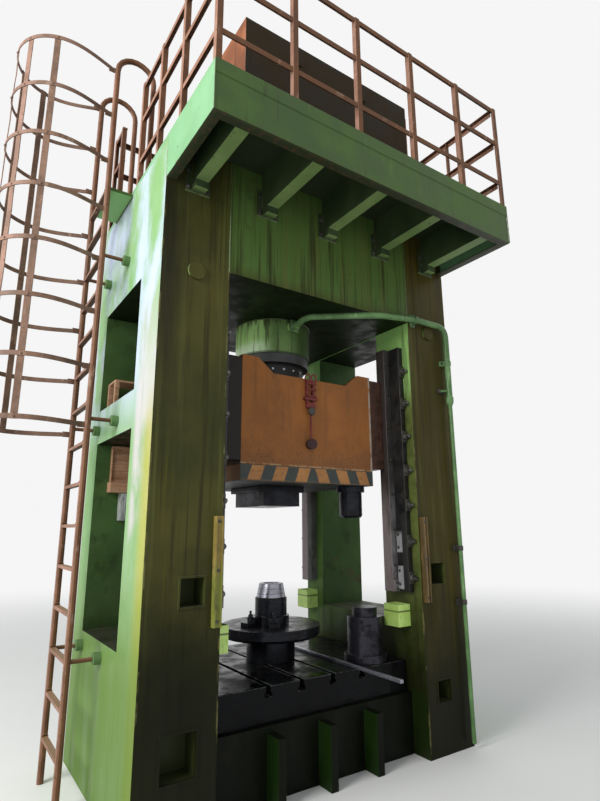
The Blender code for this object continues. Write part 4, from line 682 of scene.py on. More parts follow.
def bolster_steel():
    """Oily dark plate with bright rubbed lines along the slots' edges."""
    s = Shader("bolster steel", (2.5, 5, 0.65, 5), metallic=0.55, specular=0.12)
    lines = s.noise((4, 160, 160), 4, 0.7, 3)
    s.base((0.004, 0.005, 0.005), (0.012, 0.013, 0.015), 0.3, 0.7, lines)
    stain = s.ramp(s.cloud, 0.46, 0.62)
    s.cover(stain, 0.75, (0.006, 0.006, 0.006))
    s.cover(s.off(s.top()), 0.7, (0.01, 0.01, 0.011))
    broken = s.patch(0.4, 0.54, (12, 5, 12), 5, 0.7)
    edge = None
    for centre in SLOT_PLACES:
        for way in (-1, 1):
            line = s.near(s.x, centre + way * (SLOT_HALF + 0.003), 0.0075)
            edge = line if edge is None else s.either(edge, line)
    s.cover(s.both(s.both(edge, s.top()), broken), 0.9, (0.36, 0.36, 0.37))
    rim = s.both(s.near(s.z, 0.695, 0.008), broken)
    s.cover(s.both(rim, s.off(s.top())), 0.7, (0.11, 0.11, 0.115))
    return s.finish(0.16, 0.5, s.noise(30, 4), 0.2, 0.001, s.patch(0.35, 0.65, 6, 4, 0.6, 8))


def die_steel():
    """Turned tool steel under dark oil, with the turning marks round each die's axis."""
    s = Shader("die steel", (9, 5, 0.65, 5), metallic=0.55, specular=0.25)
    lines = s.noise((6, 6, 260), 3, 0.7, 3)
    s.base((0.008, 0.009, 0.012), (0.024, 0.025, 0.033), 0.32, 0.7, lines)
    stain = s.ramp(s.cloud, 0.45, 0.62)
    s.cover(stain, 0.7, (0.009, 0.008, 0.009))
    rust = s.patch(0.6, 0.7, 17, 6, 0.75, 14)
    s.cover(rust, 0.5, (0.045, 0.026, 0.018))
    spare = s.both(s.ramp(s.x, 0.44, 0.46), s.ramp(s.z, 1.2, 1.1))
    s.cover(s.both(spare, s.off(stain)), 0.4, (0.064, 0.06, 0.078))
    rub = s.patch(0.62, 0.7, (30, 30, 60), 5, 0.75, 4)
    s.cover(rub, 0.5, (0.14, 0.14, 0.155))
    return s.finish(0.2, 0.46, lines, 0.2, 0.0005)


def ring_steel():
    """The bright turned cone ring and the loose bar on the bolster."""
    s = Shader("bright turned steel", (12, 5, 0.65, 5), metallic=0.75)
    lines = s.noise((5, 5, 420), 3, 0.7, 3)
    s.base((0.2, 0.2, 0.24), (0.4, 0.4, 0.47), 0.3, 0.7, lines)
    stain = s.ramp(s.cloud, 0.55, 0.7)
    s.cover(stain, 0.55, (0.1, 0.09, 0.085))
    groove = s.either(s.near(s.z, 1.262, 0.004), s.near(s.z, 1.224, 0.004))
    s.cover(groove, 0.7, (0.07, 0.07, 0.08))
    return s.finish(0.2, 0.4, lines, 0.2, 0.0004)


def dark_plate():
    s = Shader("dark plate paint", (6, 5, 0.65, 5), specular=0.45)
    s.base((0.022, 0.02, 0.017), (0.048, 0.042, 0.034))
    rust = s.patch(0.58, 0.7, 20, 6, 0.75, 14)
    s.cover(rust, 0.5, (0.085, 0.045, 0.024))
    return s.finish(0.35, 0.62, s.noise(60), 0.25, 0.001)


def box_paint():
    s = Shader("box grey paint", (8, 5, 0.65, 5), specular=0.45)
    s.base((0.26, 0.285, 0.28), (0.4, 0.42, 0.4))
    run = s.streaks(40, 5, 0.55, 0.68, 3)
    s.cover(run, 0.55, (0.13, 0.12, 0.085))
    # Painted shade: the box's undersides are darker.
    s.cover(s.under(), 0.7, (0.09, 0.095, 0.08))
    return s.finish(0.38, 0.6, s.noise(70), 0.2, 0.0008)


def guard_paint():
    """Guard channels: orange rubbed brown on the right, yellow over green on the left."""
    s = Shader("guard orange paint", ((20, 20, 6), 5, 0.65, 5), specular=0.4)
    right = s.tones((0.07, 0.044, 0.012), (0.135, 0.082, 0.024))
    middle = s.near(s.wide, GUARD_X, 0.01)
    right = s.over(right, middle, 0.55, (0.42, 0.3, 0.15))
    left = s.tones((0.21, 0.156, 0.036), (0.32, 0.232, 0.062))
    lower = s.ramp(s.ragged(s.z, s.cloud, 0.2), 1.72, 1.5)
    left = s.over(left, lower, 0.7, (0.165, 0.215, 0.03))
    s.colour = s.mix(s.ramp(s.x, -0.1, 0.1), left, right)
    worn = s.patch(0.54, 0.64, (34, 34, 12), 6, 0.75, 3)
    s.cover(worn, 0.65, (0.052, 0.038, 0.018))
    return s.finish(0.4, 0.66, s.noise(70), 0.25, 0.0008)


def wood_paint():
    """Orange-brown planks and cheeks of the fittings in the left column's windows."""
    s = Shader("window fitting paint", ((6, 60, 60), 4, 0.65, 5), specular=0.35)
    s.base((0.33, 0.165, 0.08), (0.48, 0.29, 0.18))
    worn = s.patch(0.55, 0.68, 22, 5, 0.7, 3)
    s.cover(worn, 0.5, (0.15, 0.085, 0.042))
    return s.finish(0.48, 0.72, s.cloud, 0.25, 0.0008)


def seam_paint():
    """Weld beads under old green paint."""
    s = Shader("weld seam paint", (12, 4, 0.62, 5))
    s.base((0.04, 0.06, 0.018), (0.085, 0.125, 0.04))
    rust = s.patch(0.58, 0.7, 40, 6, 0.75, 14)
    s.cover(rust, 0.55, (0.085, 0.045, 0.024))
    return s.finish(0.4, 0.62, s.noise(120), 0.4, 0.001)


def bolt_steel():
    s = Shader("bolt steel", (40, 4, 0.62, 5), metallic=0.6)
    s.base((0.04, 0.039, 0.037), (0.14, 0.137, 0.128))
    rust = s.patch(0.56, 0.68, 60, 6, 0.75, 14)
    s.cover(rust, 0.6, (0.075, 0.045, 0.03))
    return s.finish(0.28, 0.52, s.noise(140), 0.2, 0.0004)


def zinc_steel():
    """The gland's pale screw heads, which catch the light from below."""
    s = Shader("zinc plated steel", (30, 4, 0.62, 5), metallic=0.2, specular=0.6)
    s.base((0.42, 0.43, 0.44), (0.64, 0.65, 0.66))
    return s.finish(0.25, 0.42, s.noise(140), 0.2, 0.0004)


def floor_paint():
    """Plain pale floor that turns into the backdrop's tone away from the press."""
    s = Shader("pale floor", (0.25, 3, 0.5, 5), specular=0.2)
    s.base((0.8, 0.8, 0.79), (0.85, 0.85, 0.84), 0.3, 0.7)
    material = s.finish(0.7, 0.85, s.noise(8), 0.05, 0.001)
    far = s.math("SQRT", s.math("ADD", s.both(s.x, s.x), s.both(s.y, s.y)))
    glow = s.add("Emission", BACKDROP_TONE)
    share = s.ramp(far, FADE_START, FADE_END)
    choose = s.add("MixShader", share, s.surface.outputs["BSDF"], glow.outputs["Emission"])
    s.put(s.output.inputs["Surface"], choose.outputs[0])
    return material


# Which node gets which look


def make_looks():
    return {
        "frame": frame_paint(), "walkway": walkway_paint(), "cylinder": cylinder_paint(),
        "pipe": pipe_paint(), "pan": pan_paint(), "slide": slide_paint(), "band": band_paint(),
        "beam": beam_paint(), "rail": rail_paint(), "tank": tank_paint(), "lock": lock_paint(),
        "gib": gib_paint(), "way": way_steel(), "bolster": bolster_steel(), "die": die_steel(),
        "ring": ring_steel(), "plate": dark_plate(), "box": box_paint(), "guard": guard_paint(),
        "wood": wood_paint(),
        "chrome": ground_steel("ram chrome", (0.5, 0.5, 0.51), (0.66, 0.66, 0.67),
                               (0.1, 0.08, 0.05), 0.95, 0.16),
        "gland": ground_steel("gland steel", (0.004, 0.004, 0.004), (0.011, 0.01, 0.01),
                              (0.006, 0.005, 0.004), 0.3, 0.4),
        "bolt": bolt_steel(), "seam": seam_paint(), "zinc": zinc_steel(),
    }


# The first start that fits a node's name decides, so longer names come before their own beginnings
STARTS = {
    "upright": "frame", "crown": "frame", "bed": "frame", "deck_beam": "beam", "deck": "walkway",
    "fascia": "walkway", "landing": "walkway", "main_cylinder": "cylinder", "oil_pipe": "pipe",
    "drip_pan": "pan", "slide_plate": "band", "slide_lock": "lock", "slide": "slide", "shoe": "lock",
    "railing": "rail", "ladder": "rail", "gooseneck": "rail", "oil_tank": "tank", "gib": "gib",
    "filler": "gib", "way": "way", "bolster": "bolster", "ram": "chrome", "gland": "gland",
    "die_ring": "ring", "slot_bar": "ring", "die": "die", "spare": "die", "upper": "die",
    "guard": "guard", "window_shelf": "wood", "cable_panel": "wood", "junction": "box",
}


def dress_nodes(looks):
    for name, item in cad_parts.items():
        key = next((look for start, look in STARTS.items() if name.startswith(start)), "plate")
        item.data.materials.clear()
        item.data.materials.append(looks[key])


def soften_edges():
    """Small bevels on the box-like solids, so that their edges catch light."""
    for name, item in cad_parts.items():
        weld = item.modifiers.new("weld", "WELD")
        weld.merge_threshold = WELD
        bevel = item.modifiers.new("soft edge", "BEVEL")
        bevel.width = THIN_EDGE if name.startswith(THIN_NODES) else SOFT_EDGE
        bevel.segments = EDGE_STEPS
        bevel.limit_method = "ANGLE"
        bevel.angle_limit = math.radians(SOFT_ANGLE)
        bevel.harden_normals = False
        item.modifiers.new("even normals", "WEIGHTED_NORMAL")


# Mesh code for the pieces that the solids leave out


def join_rings(mesh, rings):
    count = len(rings[0])
    for first, second in zip(rings, rings[1:]):
        for k in range(count):
            after = (k + 1) % count
            mesh.faces.new((first[k], first[after], second[after], second[k]))
    mesh.faces.new(list(reversed(rings[0])))
    mesh.faces.new(rings[-1])


def lathe(mesh, foot, axis, profile, sides, turn=0.0):
    """A closed turned or hexagonal body on FOOT along AXIS; PROFILE is a list of radius and height."""
    ahead = Vector(axis).normalized()
    across = ahead.orthogonal().normalized()
    rise = ahead.cross(across)
    rings = []
    for radius, height in profile:
        centre = Vector(foot) + ahead * height
        ring = []
        for k in range(sides):
            angle = turn + math.tau * k / sides
            out = across * math.cos(angle) + rise * math.sin(angle)
            ring.append(mesh.verts.new(centre + out * radius))
        rings.append(ring)
    join_rings(mesh, rings)


def sweep(mesh, points, outline, up, swell=None):
    """OUTLINE carried along POINTS without twist; SWELL gives each ring its own size."""
    points = [Vector(point) for point in points]
    ahead = (points[1] - points[0]).normalized()
    across = ahead.cross(Vector(up)).normalized()
    rings = []
    for k, point in enumerate(points):
        last = points[max(k - 1, 0)]
        coming = points[min(k + 1, len(points) - 1)]
        way = (coming - last).normalized()
        across = ahead.rotation_difference(way) @ across
        ahead = way
        rise = across.cross(ahead)
        size = swell[k] if swell else 1.0
        rings.append([mesh.verts.new(point + (across * u + rise * v) * size) for u, v in outline])
    join_rings(mesh, rings)


def circle(radius, sides):
    angles = [math.tau * k / sides for k in range(sides)]
    return [(radius * math.cos(a), radius * math.sin(a)) for a in angles]


def arc(centre, first, second, steps, start=0.0, turn=math.tau):
    """Points round CENTRE from FIRST towards SECOND, which are its radius as vectors."""
    points = []
    for k in range(steps + 1):
        angle = start + turn * k / steps
        near, far = math.cos(angle), math.sin(angle)
        points.append(tuple(c + u * near + v * far for c, u, v in zip(centre, first, second)))
    return points


def flat_bar(width, height, chamfer):
    x, y, c = width / 2, height / 2, chamfer
    half = [(-x + c, -y), (x - c, -y), (x, -y + c), (x, y - c)]
    return half + [(-u, -v) for u, v in half]


def rounded(points, radius, steps):
    """The polyline with each corner turned into a smooth bend."""
    points = [Vector(point) for point in points]
    path = [points[0]]
    for before, corner, after in zip(points, points[1:], points[2:]):
        back = before - corner
        on = after - corner
        reach = min(radius, back.length * BEND_SHARE, on.length * BEND_SHARE)
        start = corner + back.normalized() * reach
        end = corner + on.normalized() * reach
        for k in range(steps + 1):
            t = k / steps
            path.append(start * (1 - t) ** 2 + corner * (2 * t * (1 - t)) + end * t ** 2)
    path.append(points[-1])
    return path


def block(mesh, low, high, chamfer):
    """A bar along its longest side with chamfered long edges."""
    low, high = Vector(low), Vector(high)
    size = high - low
    middle = (low + high) / 2
    longest = max(range(3), key=lambda axis: size[axis])
    start, end = middle.copy(), middle.copy()
    start[longest], end[longest] = low[longest], high[longest]
    up = Vector(UP if longest != 2 else TO_REAR)
    across = (end - start).normalized().cross(up)
    width = abs(across.dot(size))
    height = abs(up.dot(size))
    short = chamfer / 2
    outline = flat_bar(width, height, chamfer)
    tip = [(u * (1 - short / width), v * (1 - short / height)) for u, v in outline]
    inset = short / size[longest]
    rings = []
    for share, shape in ((0.0, tip), (inset, outline), (1 - inset, outline), (1.0, tip)):
        centre = start.lerp(end, share)
        rings.append([mesh.verts.new(centre + across * u + up * v) for u, v in shape])
    join_rings(mesh, rings)


def plate(mesh, x, z, wide, tall, near, far, chamfer):
    """A block round X and Z that reaches from NEAR to FAR in depth."""
    block(mesh, (x - wide, near, z - tall), (x + wide, far, z + tall), chamfer)


def hex_bolt(mesh, foot, axis, radius, turn=0.0):
    """A washer and a hexagonal head with its chamfered top."""
    washer = radius * 1.45
    lathe(mesh, foot, axis, [(washer, -0.001), (washer, radius * 0.22), (washer * 0.93, radius * 0.3)], 18)
    head = radius * 0.95
    profile = [(radius, radius * 0.2), (radius, head * 0.85), (radius * 0.84, head)]
    lathe(mesh, foot, axis, profile, 6, turn)


def cap_screw(mesh, foot, axis, radius):
    """A socket head with its round hollow."""
    profile = [(radius, -0.001), (radius, radius * 0.85), (radius * 0.9, radius * 0.98),
               (radius * 0.52, radius * 0.98), (radius * 0.5, radius * 0.45)]
    lathe(mesh, foot, axis, profile, 16)


def bead(mesh, points, radius):
    """A weld bead: a thin round run whose ripples lie a few millimetres apart."""
    path = []
    for start, end in zip(points, points[1:]):
        start, end = Vector(start), Vector(end)
        count = max(2, int((end - start).length / BEAD_STEP))
        path += [start.lerp(end, k / count) for k in range(count)]
    path.append(Vector(points[-1]))
    ripple = [1.0 + BEAD_RIPPLE * math.sin(2.4 * k) + 0.08 * math.sin(0.71 * k) for k in range(len(path))]
    lead = path[1] - path[0]
    up = UP if abs(lead.z) < abs(lead.x) + abs(lead.y) else TO_REAR
    sweep(mesh, path, circle(radius, 6), up, ripple)


def add_piece(name, mesh, look, body="frame", angle=SMOOTH_ANGLE):
    bmesh.ops.recalc_face_normals(mesh, faces=mesh.faces)
    data = bpy.data.meshes.new(name)
    mesh.to_mesh(data)
    mesh.free()
    item = bpy.data.objects.new(name, data)
    bpy.context.scene.collection.objects.link(item)
    data.materials.append(look)
    data.polygons.foreach_set("use_smooth", [True] * len(data.polygons))
    data.set_sharp_from_angle(angle=math.radians(angle))
    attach(item, body)
    return item


def make_cage(look):
    """The ladder's cage: round hoops with clips, straps that bow a little, a bolt at each crossing."""
    mesh = bmesh.new()
    middle = (STILE_FRONT + STILE_REAR) / 2
    start_x = STILE_X - STILE_RADIUS - 0.0006
    levels = [HOOP_LOW + k * HOOP_PITCH for k in range(HOOP_COUNT)]
    along, across = (HOOP_RADIUS, 0, 0), (0, HOOP_RADIUS, 0)
    for z in levels:
        there = [hoop_run(k / HOOP_RUN, start_x, middle, z, 1) for k in range(HOOP_RUN)]
        back = [hoop_run(k / HOOP_RUN, start_x, middle, z, -1) for k in reversed(range(HOOP_RUN))]
        bend = arc((HOOP_X, middle, z), along, across, HOOP_STEPS, -math.pi / 2, -math.pi)
        sweep(mesh, there + bend + back, flat_bar(0.007, 0.036, 0.0018), UP)
        for y in (STILE_FRONT, STILE_REAR):
            low = (start_x - 0.05, y - 0.008, z - 0.022)
            block(mesh, low, (start_x + 0.004, y + 0.008, z + 0.022), 0.003)
    for share in STRAP_SHARES:
        turn = -math.pi / 2 - math.pi * share
        outward = Vector((math.cos(turn), math.sin(turn), 0.0))
        centre = Vector((HOOP_X, middle, 0.0)) + outward * (HOOP_RADIUS - 0.0069)
        path = []
        rows = 4 * (HOOP_COUNT - 1)
        for row in range(rows + 1):
            bow = 0.004 * math.sin(math.pi * row / 4) ** 2 * math.sin(1.7 * row + 9.0 * share)
            z = HOOP_LOW - 0.018 + (levels[-1] - HOOP_LOW + 0.036) * row / rows
            path.append(centre - outward * abs(bow) + Vector((0.0, 0.0, z)))
        sweep(mesh, path, flat_bar(0.048, 0.007, 0.0018), outward)
        for z in levels:
            foot = centre + outward * 0.0098 + Vector((0.0, 0.0, z))
            lathe(mesh, foot, outward, [(0.01, 0.0), (0.0095, 0.004), (0.006, 0.0065)], 12)
    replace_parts(add_piece("cage_round_hoops", mesh, look), "ladder_cage")


def hoop_run(share, start_x, middle, z, way):
    """A point of the run from a stile to the round part, smooth at its far end."""
    y_start = middle - way * (STILE_REAR - STILE_FRONT) / 2
    y_end = middle - way * HOOP_RADIUS
    blend = share * share * (3 - 2 * share) * 0.35 + (1 - (1 - share) ** 2) * 0.65
    return (start_x + (HOOP_X - start_x) * share, y_start + (y_end - y_start) * blend, z)


def make_pipe(look, dark, bolt):
    """The pressure pipe with smooth bends, its port flange, reducer and clamps."""
    mesh, clamps, bolts = bmesh.new(), bmesh.new(), bmesh.new()
    path = [(0.0, PORT_Y - 0.02, PORT_Z), (0.0, PORT_Y - 0.2, 3.59), (PIPE_PASS_X, PIPE_Y, 3.59),
            (LEG_IN + 0.05, PIPE_Y, PIPE_Z), (PIPE_X, PIPE_Y, PIPE_Z), (PIPE_X, PIPE_Y, REDUCER_Z)]
    sweep(mesh, rounded(path, 0.117, 14), circle(PIPE_RADIUS, 20), UP)
    plate(mesh, 0.0, PORT_Z, 0.044, 0.054, PORT_Y - 0.03, PORT_Y - 0.002, 0.004)
    lathe(mesh, (0.0, PORT_Y - 0.029, PORT_Z), TO_FRONT, [(0.042, 0.0), (0.04, 0.01), (0.032, 0.032)], 24)
    lathe(mesh, (PIPE_X, PIPE_Y, REDUCER_Z + 0.034), DOWN,
          [(0.0275, 0.0), (0.034, 0.004), (0.034, 0.05), (0.028, 0.068), (0.0185, 0.09), (0.018, 0.1)], 24)
    thin = [(PIPE_X, PIPE_Y, REDUCER_Z), (PIPE_X, PIPE_Y, 1.6), (PIPE_X, PIPE_Y, 0.05)]
    sweep(mesh, thin, circle(THIN_RADIUS, 16), TO_REAR)
    for x, z, radius, standing in PIPE_CLAMPS:
        pipe_clamp(mesh if z > 2.0 else clamps, x, z, radius, standing)
        for way in (-1, 1):
            out = way * (radius + 0.019)
            foot = (x + out, FRONT - 0.022, z) if standing else (x, FRONT - 0.022, z + out)
            hex_bolt(bolts, foot, TO_FRONT, 0.008)
    for z in (-0.042, 0.042):
        for x in (-0.032, 0.032):
            cap_screw(bolts, (x, PORT_Y - 0.03, PORT_Z + z), TO_FRONT, 0.007)
    x, y, z = PIPE_X - 0.085, FRONT - 0.0003, 3.015
    block(clamps, (x - 0.03, y - 0.02, z - 0.02), (x + 0.055, y, z + 0.02), 0.003)
    stay = [(x, y - 0.01, z), (x + 0.02, PIPE_Y + 0.012, z), (PIPE_X - 0.022, PIPE_Y, z)]
    sweep(mesh, stay, circle(0.011, 10), UP)
    for way in (-1, 1):
        hex_bolt(bolts, (x + way * 0.018, y - 0.02, z), TO_FRONT, 0.007)
    add_piece("pipe_dark_clamps", clamps, dark)
    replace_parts(add_piece("pressure_pipe_detail", mesh, look, angle=40.0), "oil_pipe")
    add_piece("pipe_clamp_bolts", bolts, bolt)


def pipe_clamp(mesh, x, z, radius, standing):
    """A strap over the pipe on two feet, with a block between it and the column."""
    long, wide, saddle = radius + 0.032, 0.024, radius + 0.006
    strap = radius + 0.004
    feet, rest = ((long, wide), (saddle, wide)) if standing else ((wide, long), (wide, saddle))
    plate(mesh, x, z, *feet, FRONT - 0.022, FRONT - 0.0003, 0.002)
    plate(mesh, x, z, *rest, PIPE_Y, FRONT - 0.02, 0.002)
    along = (strap, 0, 0) if standing else (0, 0, strap)
    path = arc((x, PIPE_Y, z), along, (0, -strap, 0), 12, turn=math.pi)
    sweep(mesh, path, flat_bar(0.004, 0.04, 0.001), UP if standing else TO_RIGHT)


def make_guides(bolt, dark, steel):
    """Screws, lock nuts and keeper plates of the four corner guides."""
    nuts, keepers, screws, feet = bmesh.new(), bmesh.new(), bmesh.new(), bmesh.new()
    levels = [GIB_LOW + (GIB_HIGH - GIB_LOW) * k / 6 for k in range(7)]
    for side in (-1, 1):
        for end, face, tail in ((-1, GIB_FRONT, 0.033), (1, GIB_REAR, 0.0115)):
            x = side * GIB_X
            near, far = sorted((face, face + end * 0.012))
            for z in levels:
                plate(keepers, x, z, 0.027, 0.05, near, far, 0.002)
                nut = [(0.03, 0.0), (0.03, 0.018), (0.027, 0.021)]
                lathe(nuts, (x, face + end * 0.012, z), (0, end, 0), nut, 6, 0.4 * z)
                screw = [(0.0165, 0.0), (0.0165, tail - 0.003), (0.014, tail)]
                lathe(nuts, (x, face + end * 0.033, z), (0, end, 0), screw, 14)
        x = side * WAY_X
        for k in range(7):
            cap_screw(screws, (x, WAY_FRONT, 1.455 + 0.3017 * k), TO_FRONT, 0.013)
        block(feet, (x - 0.03, WAY_FRONT - 0.016, 1.243), (x + 0.03, WAY_FRONT, 1.335), 0.002)
        for z in (1.263, 1.315):
            cap_screw(screws, (x, WAY_FRONT - 0.016, z), TO_FRONT, 0.01)
        for z in levels[:2]:
            for rise in (-0.055, 0.055):
                place = (side * (GIB_NEAR - 0.012), -0.65, z + rise)
                lathe(screws, place, (-side, 0, 0), [(0.013, -0.001), (0.013, 0.003), (0.01, 0.004)], 14)
    add_piece("gib_lock_nuts", nuts, bolt)
    add_piece("gib_keeper_plates", keepers, dark)
    add_piece("way_screws", screws, dark)
    add_piece("way_foot_plates", feet, steel)


def upright_bead(mesh, x, y, low, high, radius):
    bead(mesh, [(x, y, low), (x, y, high)], radius)


def make_welds(green, rust):
    """Weld beads where plates meet: head and columns, walkway beams, landing, tank, rungs and posts."""
    mesh = bmesh.new()
    for x in (-LEG_IN, LEG_IN):
        upright_bead(mesh, x, FRONT - 0.0005, CROWN_LOW + 0.004, FRAME_TOP - 0.01, 0.0055)
    for x in BEAM_PLACES:
        bead(mesh, [(x - 0.095, FRONT - 0.002, 4.182), (x + 0.095, FRONT - 0.002, 4.182)], 0.005)
        for way in (-1, 1):
            upright_bead(mesh, x + way * 0.052, -0.842, 4.26, 4.4, 0.004)
            upright_bead(mesh, x + way * 0.048, -1.608, 4.248, 4.5, 0.004)
    for x in (-LEG_OUT, LEG_OUT):
        upright_bead(mesh, x, -1.6235, FASCIA_LOW + 0.003, FASCIA_TOP - 0.003, 0.0032)
    low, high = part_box("landing")
    bead(mesh, [(-LEG_OUT - 0.001, y, low[2] - 0.001) for y in (low[1], high[1])], 0.005)
    bead(mesh, arc((0.0, CYLINDER_Y, CROWN_LOW - 0.001), (0.355, 0, 0), (0, 0.355, 0), 72), 0.006)
    add_piece("weld_beads", mesh, green)
    brown = bmesh.new()
    low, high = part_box("oil_tank")
    for x in (low[0], high[0]):
        for y in (TANK_FRONT, high[1]):
            upright_bead(brown, x, y, 4.68, high[2] - 0.13, 0.004)
    for rung in range(15):
        for y in (STILE_FRONT + 0.024, STILE_REAR - 0.024):
            bead(brown, arc((STILE_X, y, 0.31 + 0.3 * rung), (0.021, 0, 0), (0, 0, 0.014), 10), 0.0035)
    for x in POST_PLACES:
        bead(brown, [(x, -1.616, FASCIA_TOP + 0.001), (x + 0.03, -1.616, FASCIA_TOP + 0.001)], 0.004)
    add_piece("rail_and_tank_beads", brown, rust)


def make_bolts(bolt, dark, bright):
    """Bolts of the beams, the gland, the guard bars and the die clamps."""
    beams = bmesh.new()
    for x in BEAM_PLACES:
        for way in (-1, 1):
            for z in (4.215, 4.345):
                hex_bolt(beams, (x + way * 0.073, -0.8405, z), TO_FRONT, 0.012, 0.3)
    add_piece("beam_foot_bolts", beams, bolt)
    gland = bmesh.new()
    cap = [(0.0185, 0.0), (0.0185, 0.018), (0.0165, 0.0205), (0.0095, 0.0205), (0.009, 0.0195)]
    for k in range(16):
        turn = math.tau * (k + 0.5) / 16
        foot = (0.262 * math.cos(turn), CYLINDER_Y + 0.262 * math.sin(turn), GLAND_FACE + 0.001)
        lathe(gland, foot, DOWN, cap, 18)
    for k in range(18):
        out = Vector((math.cos(math.tau * k / 18), math.sin(math.tau * k / 18), 0.0))
        side = out * 0.288 + Vector((0.0, CYLINDER_Y, 3.172))
        lathe(gland, side, out, [(0.0105, -0.001), (0.0105, 0.007), (0.009, 0.009)], 12)
    add_piece("gland_cap_screws", gland, bright)
    guards = bmesh.new()
    for x in (-GUARD_X, GUARD_X):
        for z in (1.2, 1.51, 1.82):
            lathe(guards, (x, -0.8645, z), TO_FRONT, [(0.011, 0.0), (0.0105, 0.004), (0.006, 0.007)], 14)
    add_piece("guard_bar_screws", guards, bolt)
    studs = bmesh.new()
    for name in ("die_clamp_1", "die_clamp_2"):
        low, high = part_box(name)
        x, y, step = ((a + b) / 2 for a, b in zip(low, high))
        lathe(studs, (x, y, step), UP, [(0.01, 0.0), (0.01, 0.085), (0.008, 0.088)], 14)
        lathe(studs, (x, y, high[2] - 0.002), UP, [(0.026, 0.0), (0.026, 0.005)], 18)
        lathe(studs, (x, y, high[2] + 0.003), UP, [(0.019, 0.0), (0.019, 0.016), (0.016, 0.019)], 6)
    add_piece("die_clamp_studs", studs, dark)


def make_lock(look, dark):
    """The lock's two loops, the links along its rod, its middle knob and its end knob."""
    mesh = bmesh.new()
    for way in (-1, 1):
        path = arc((LOCK_X + way * 0.03, -0.592, 2.976), (0.028, 0, 0), (0, 0, 0.062), 12, turn=math.pi)
        sweep(mesh, path, circle(0.0065, 10), TO_REAR)
    for z in (2.845, 2.905, 2.955):
        lathe(mesh, (LOCK_X - 0.05, -0.596, z), TO_RIGHT, [(0.009, 0.0), (0.009, 0.1)], 12)
    add_piece("lock_loops", mesh, look, "slide")
    knob = bmesh.new()
    for z, radius in ((2.715, 0.034), (2.44, 0.043)):
        profile = [(radius * 0.7, 0.0), (radius, 0.006), (radius, 0.02),
                   (radius * 0.86, 0.026), (radius * 0.3, 0.0275)]
        lathe(knob, (LOCK_X, -0.59, z), TO_FRONT, profile, 24)
    add_piece("lock_knobs", knob, dark, "slide")


def make_box_door(look, bolt):
    """The junction box's raised door, its hinges and screws."""
    low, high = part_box("junction_box")
    mesh = bmesh.new()
    for inset, rise in ((0.012, 0.004), (0.03, 0.006)):
        corner = (high[0] - inset, low[1] + 0.002, high[2] - inset)
        block(mesh, (low[0] + inset, low[1] - rise, low[2] + inset), corner, 0.002)
    for z in (low[2] + 0.05, high[2] - 0.05):
        foot = (low[0] + 0.01, low[1] - 0.004, z - 0.014)
        lathe(mesh, foot, UP, [(0.005, 0.0), (0.005, 0.028)], 12)
    add_piece("junction_box_door", mesh, look)
    screws = bmesh.new()
    for z in (low[2] + 0.04, high[2] - 0.04):
        lathe(screws, (high[0] - 0.021, low[1] - 0.004, z), TO_FRONT, [(0.005, 0.0), (0.004, 0.0025)], 12)
    add_piece("junction_box_screws", screws, bolt)


def make_pocket_trims(look):
    """A flat raised border around each pocket of the columns' fronts."""
    mesh = bmesh.new()
    near = FRONT - 0.003
    for x, z, half, tall in POCKETS:
        for way in (-1, 1):
            plate(mesh, x, z + way * (tall + TRIM / 2), half + TRIM, TRIM / 2, near, FRONT, 0.001)
            plate(mesh, x + way * (half + TRIM / 2), z, TRIM / 2, tall, near, FRONT, 0.001)
    add_piece("pocket_trims", mesh, look)


# Camera, light and floor


def place_camera():
    yaw, pitch, roll = (math.radians(a) for a in (CAMERA_YAW, CAMERA_PITCH, CAMERA_ROLL))
    ahead = Vector((math.sin(yaw) * math.cos(pitch), math.cos(yaw) * math.cos(pitch), math.sin(pitch)))
    level = Vector((math.cos(yaw), -math.sin(yaw), 0.0))
    above = level.cross(ahead)
    right = level * math.cos(roll) + above * math.sin(roll)
    up = above * math.cos(roll) - level * math.sin(roll)
    turn = Matrix((right, up, -ahead)).transposed().to_4x4()
    lens = bpy.data.cameras.new("camera")
    lens.lens = CAMERA_LENS
    lens.sensor_width = SENSOR
    camera = bpy.data.objects.new("camera", lens)
    bpy.context.scene.collection.objects.link(camera)
    camera.matrix_world = Matrix.Translation(CAMERA_PLACE) @ turn
    bpy.context.scene.camera = camera


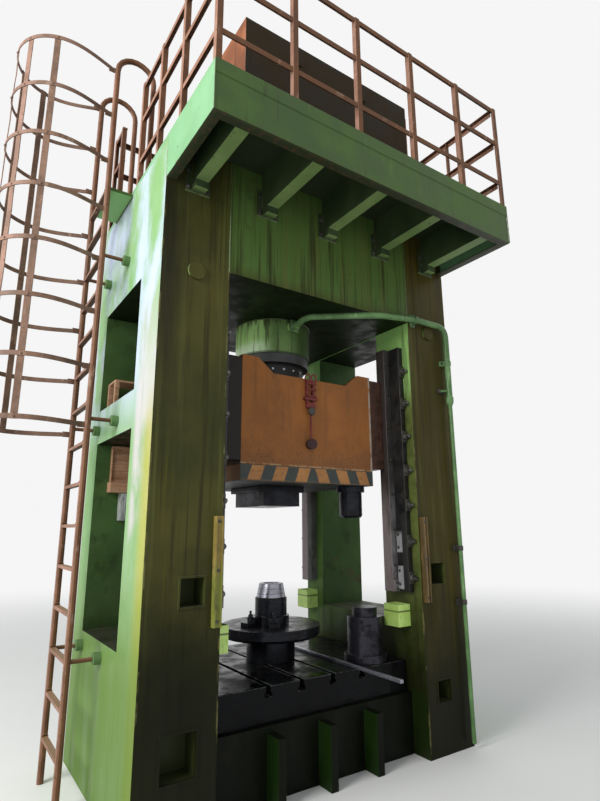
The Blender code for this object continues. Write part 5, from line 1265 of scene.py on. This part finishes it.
def light_key():
    lamp = bpy.data.lights.new("key", "AREA")
    lamp.shape = "SQUARE"
    lamp.size = KEY_SIZE
    lamp.energy = KEY_POWER
    lamp.color = KEY_TINT
    item = bpy.data.objects.new("key", lamp)
    bpy.context.scene.collection.objects.link(item)
    turn = (Vector(KEY_AIM) - Vector(KEY_PLACE)).to_track_quat("-Z", "Y").to_matrix().to_4x4()
    item.matrix_world = Matrix.Translation(KEY_PLACE) @ turn


def light_world():
    """A soft even sky; rays from the camera, mirrors and glass see the plain white backdrop."""
    world = bpy.data.worlds.new("studio")
    bpy.context.scene.world = world
    world.use_nodes = True
    nodes = Nodes(world.node_tree)
    soft = nodes.add("Background", WORLD_TINT, WORLD_LEVEL)
    plain = nodes.add("Background", BACKDROP_TONE)
    ray = nodes.add("LightPath").outputs
    seen = nodes.math("MAXIMUM", ray["Is Camera Ray"], ray["Is Glossy Ray"])
    seen = nodes.math("MAXIMUM", seen, ray["Is Transmission Ray"])
    choose = nodes.add("MixShader", seen, soft.outputs[0], plain.outputs[0])
    nodes.add("OutputWorld", choose.outputs[0])


def lay_floor():
    """A wide round floor, built as rings so that it isn't one huge face."""
    mesh = bmesh.new()
    rings = []
    for ring in range(1, FLOOR_RINGS + 1):
        reach = FLOOR_REACH * (ring / FLOOR_RINGS) ** 2
        rings.append([mesh.verts.new((x, y, 0.0)) for x, y in circle(reach, FLOOR_SIDES)])
    mesh.faces.new(rings[0])
    for inner, outer in zip(rings, rings[1:]):
        for k in range(FLOOR_SIDES):
            after = (k + 1) % FLOOR_SIDES
            mesh.faces.new((inner[k], outer[k], outer[after], inner[after]))
    data = bpy.data.meshes.new("floor")
    mesh.to_mesh(data)
    mesh.free()
    floor = bpy.data.objects.new("floor", data)
    bpy.context.scene.collection.objects.link(floor)
    data.materials.append(floor_paint())


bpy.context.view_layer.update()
bpy.context.scene.view_settings.view_transform = "Standard"
place_camera()
light_world()
light_key()
lay_floor()
looks = make_looks()
dress_nodes(looks)
soften_edges()
make_pocket_trims(looks["seam"])
make_cage(looks["rail"])
make_pipe(looks["pipe"], looks["plate"], looks["bolt"])
make_guides(looks["bolt"], looks["plate"], looks["way"])
make_welds(looks["seam"], looks["rail"])
make_bolts(looks["bolt"], looks["die"], looks["zinc"])
make_lock(looks["lock"], looks["plate"])
make_box_door(looks["box"], looks["bolt"])
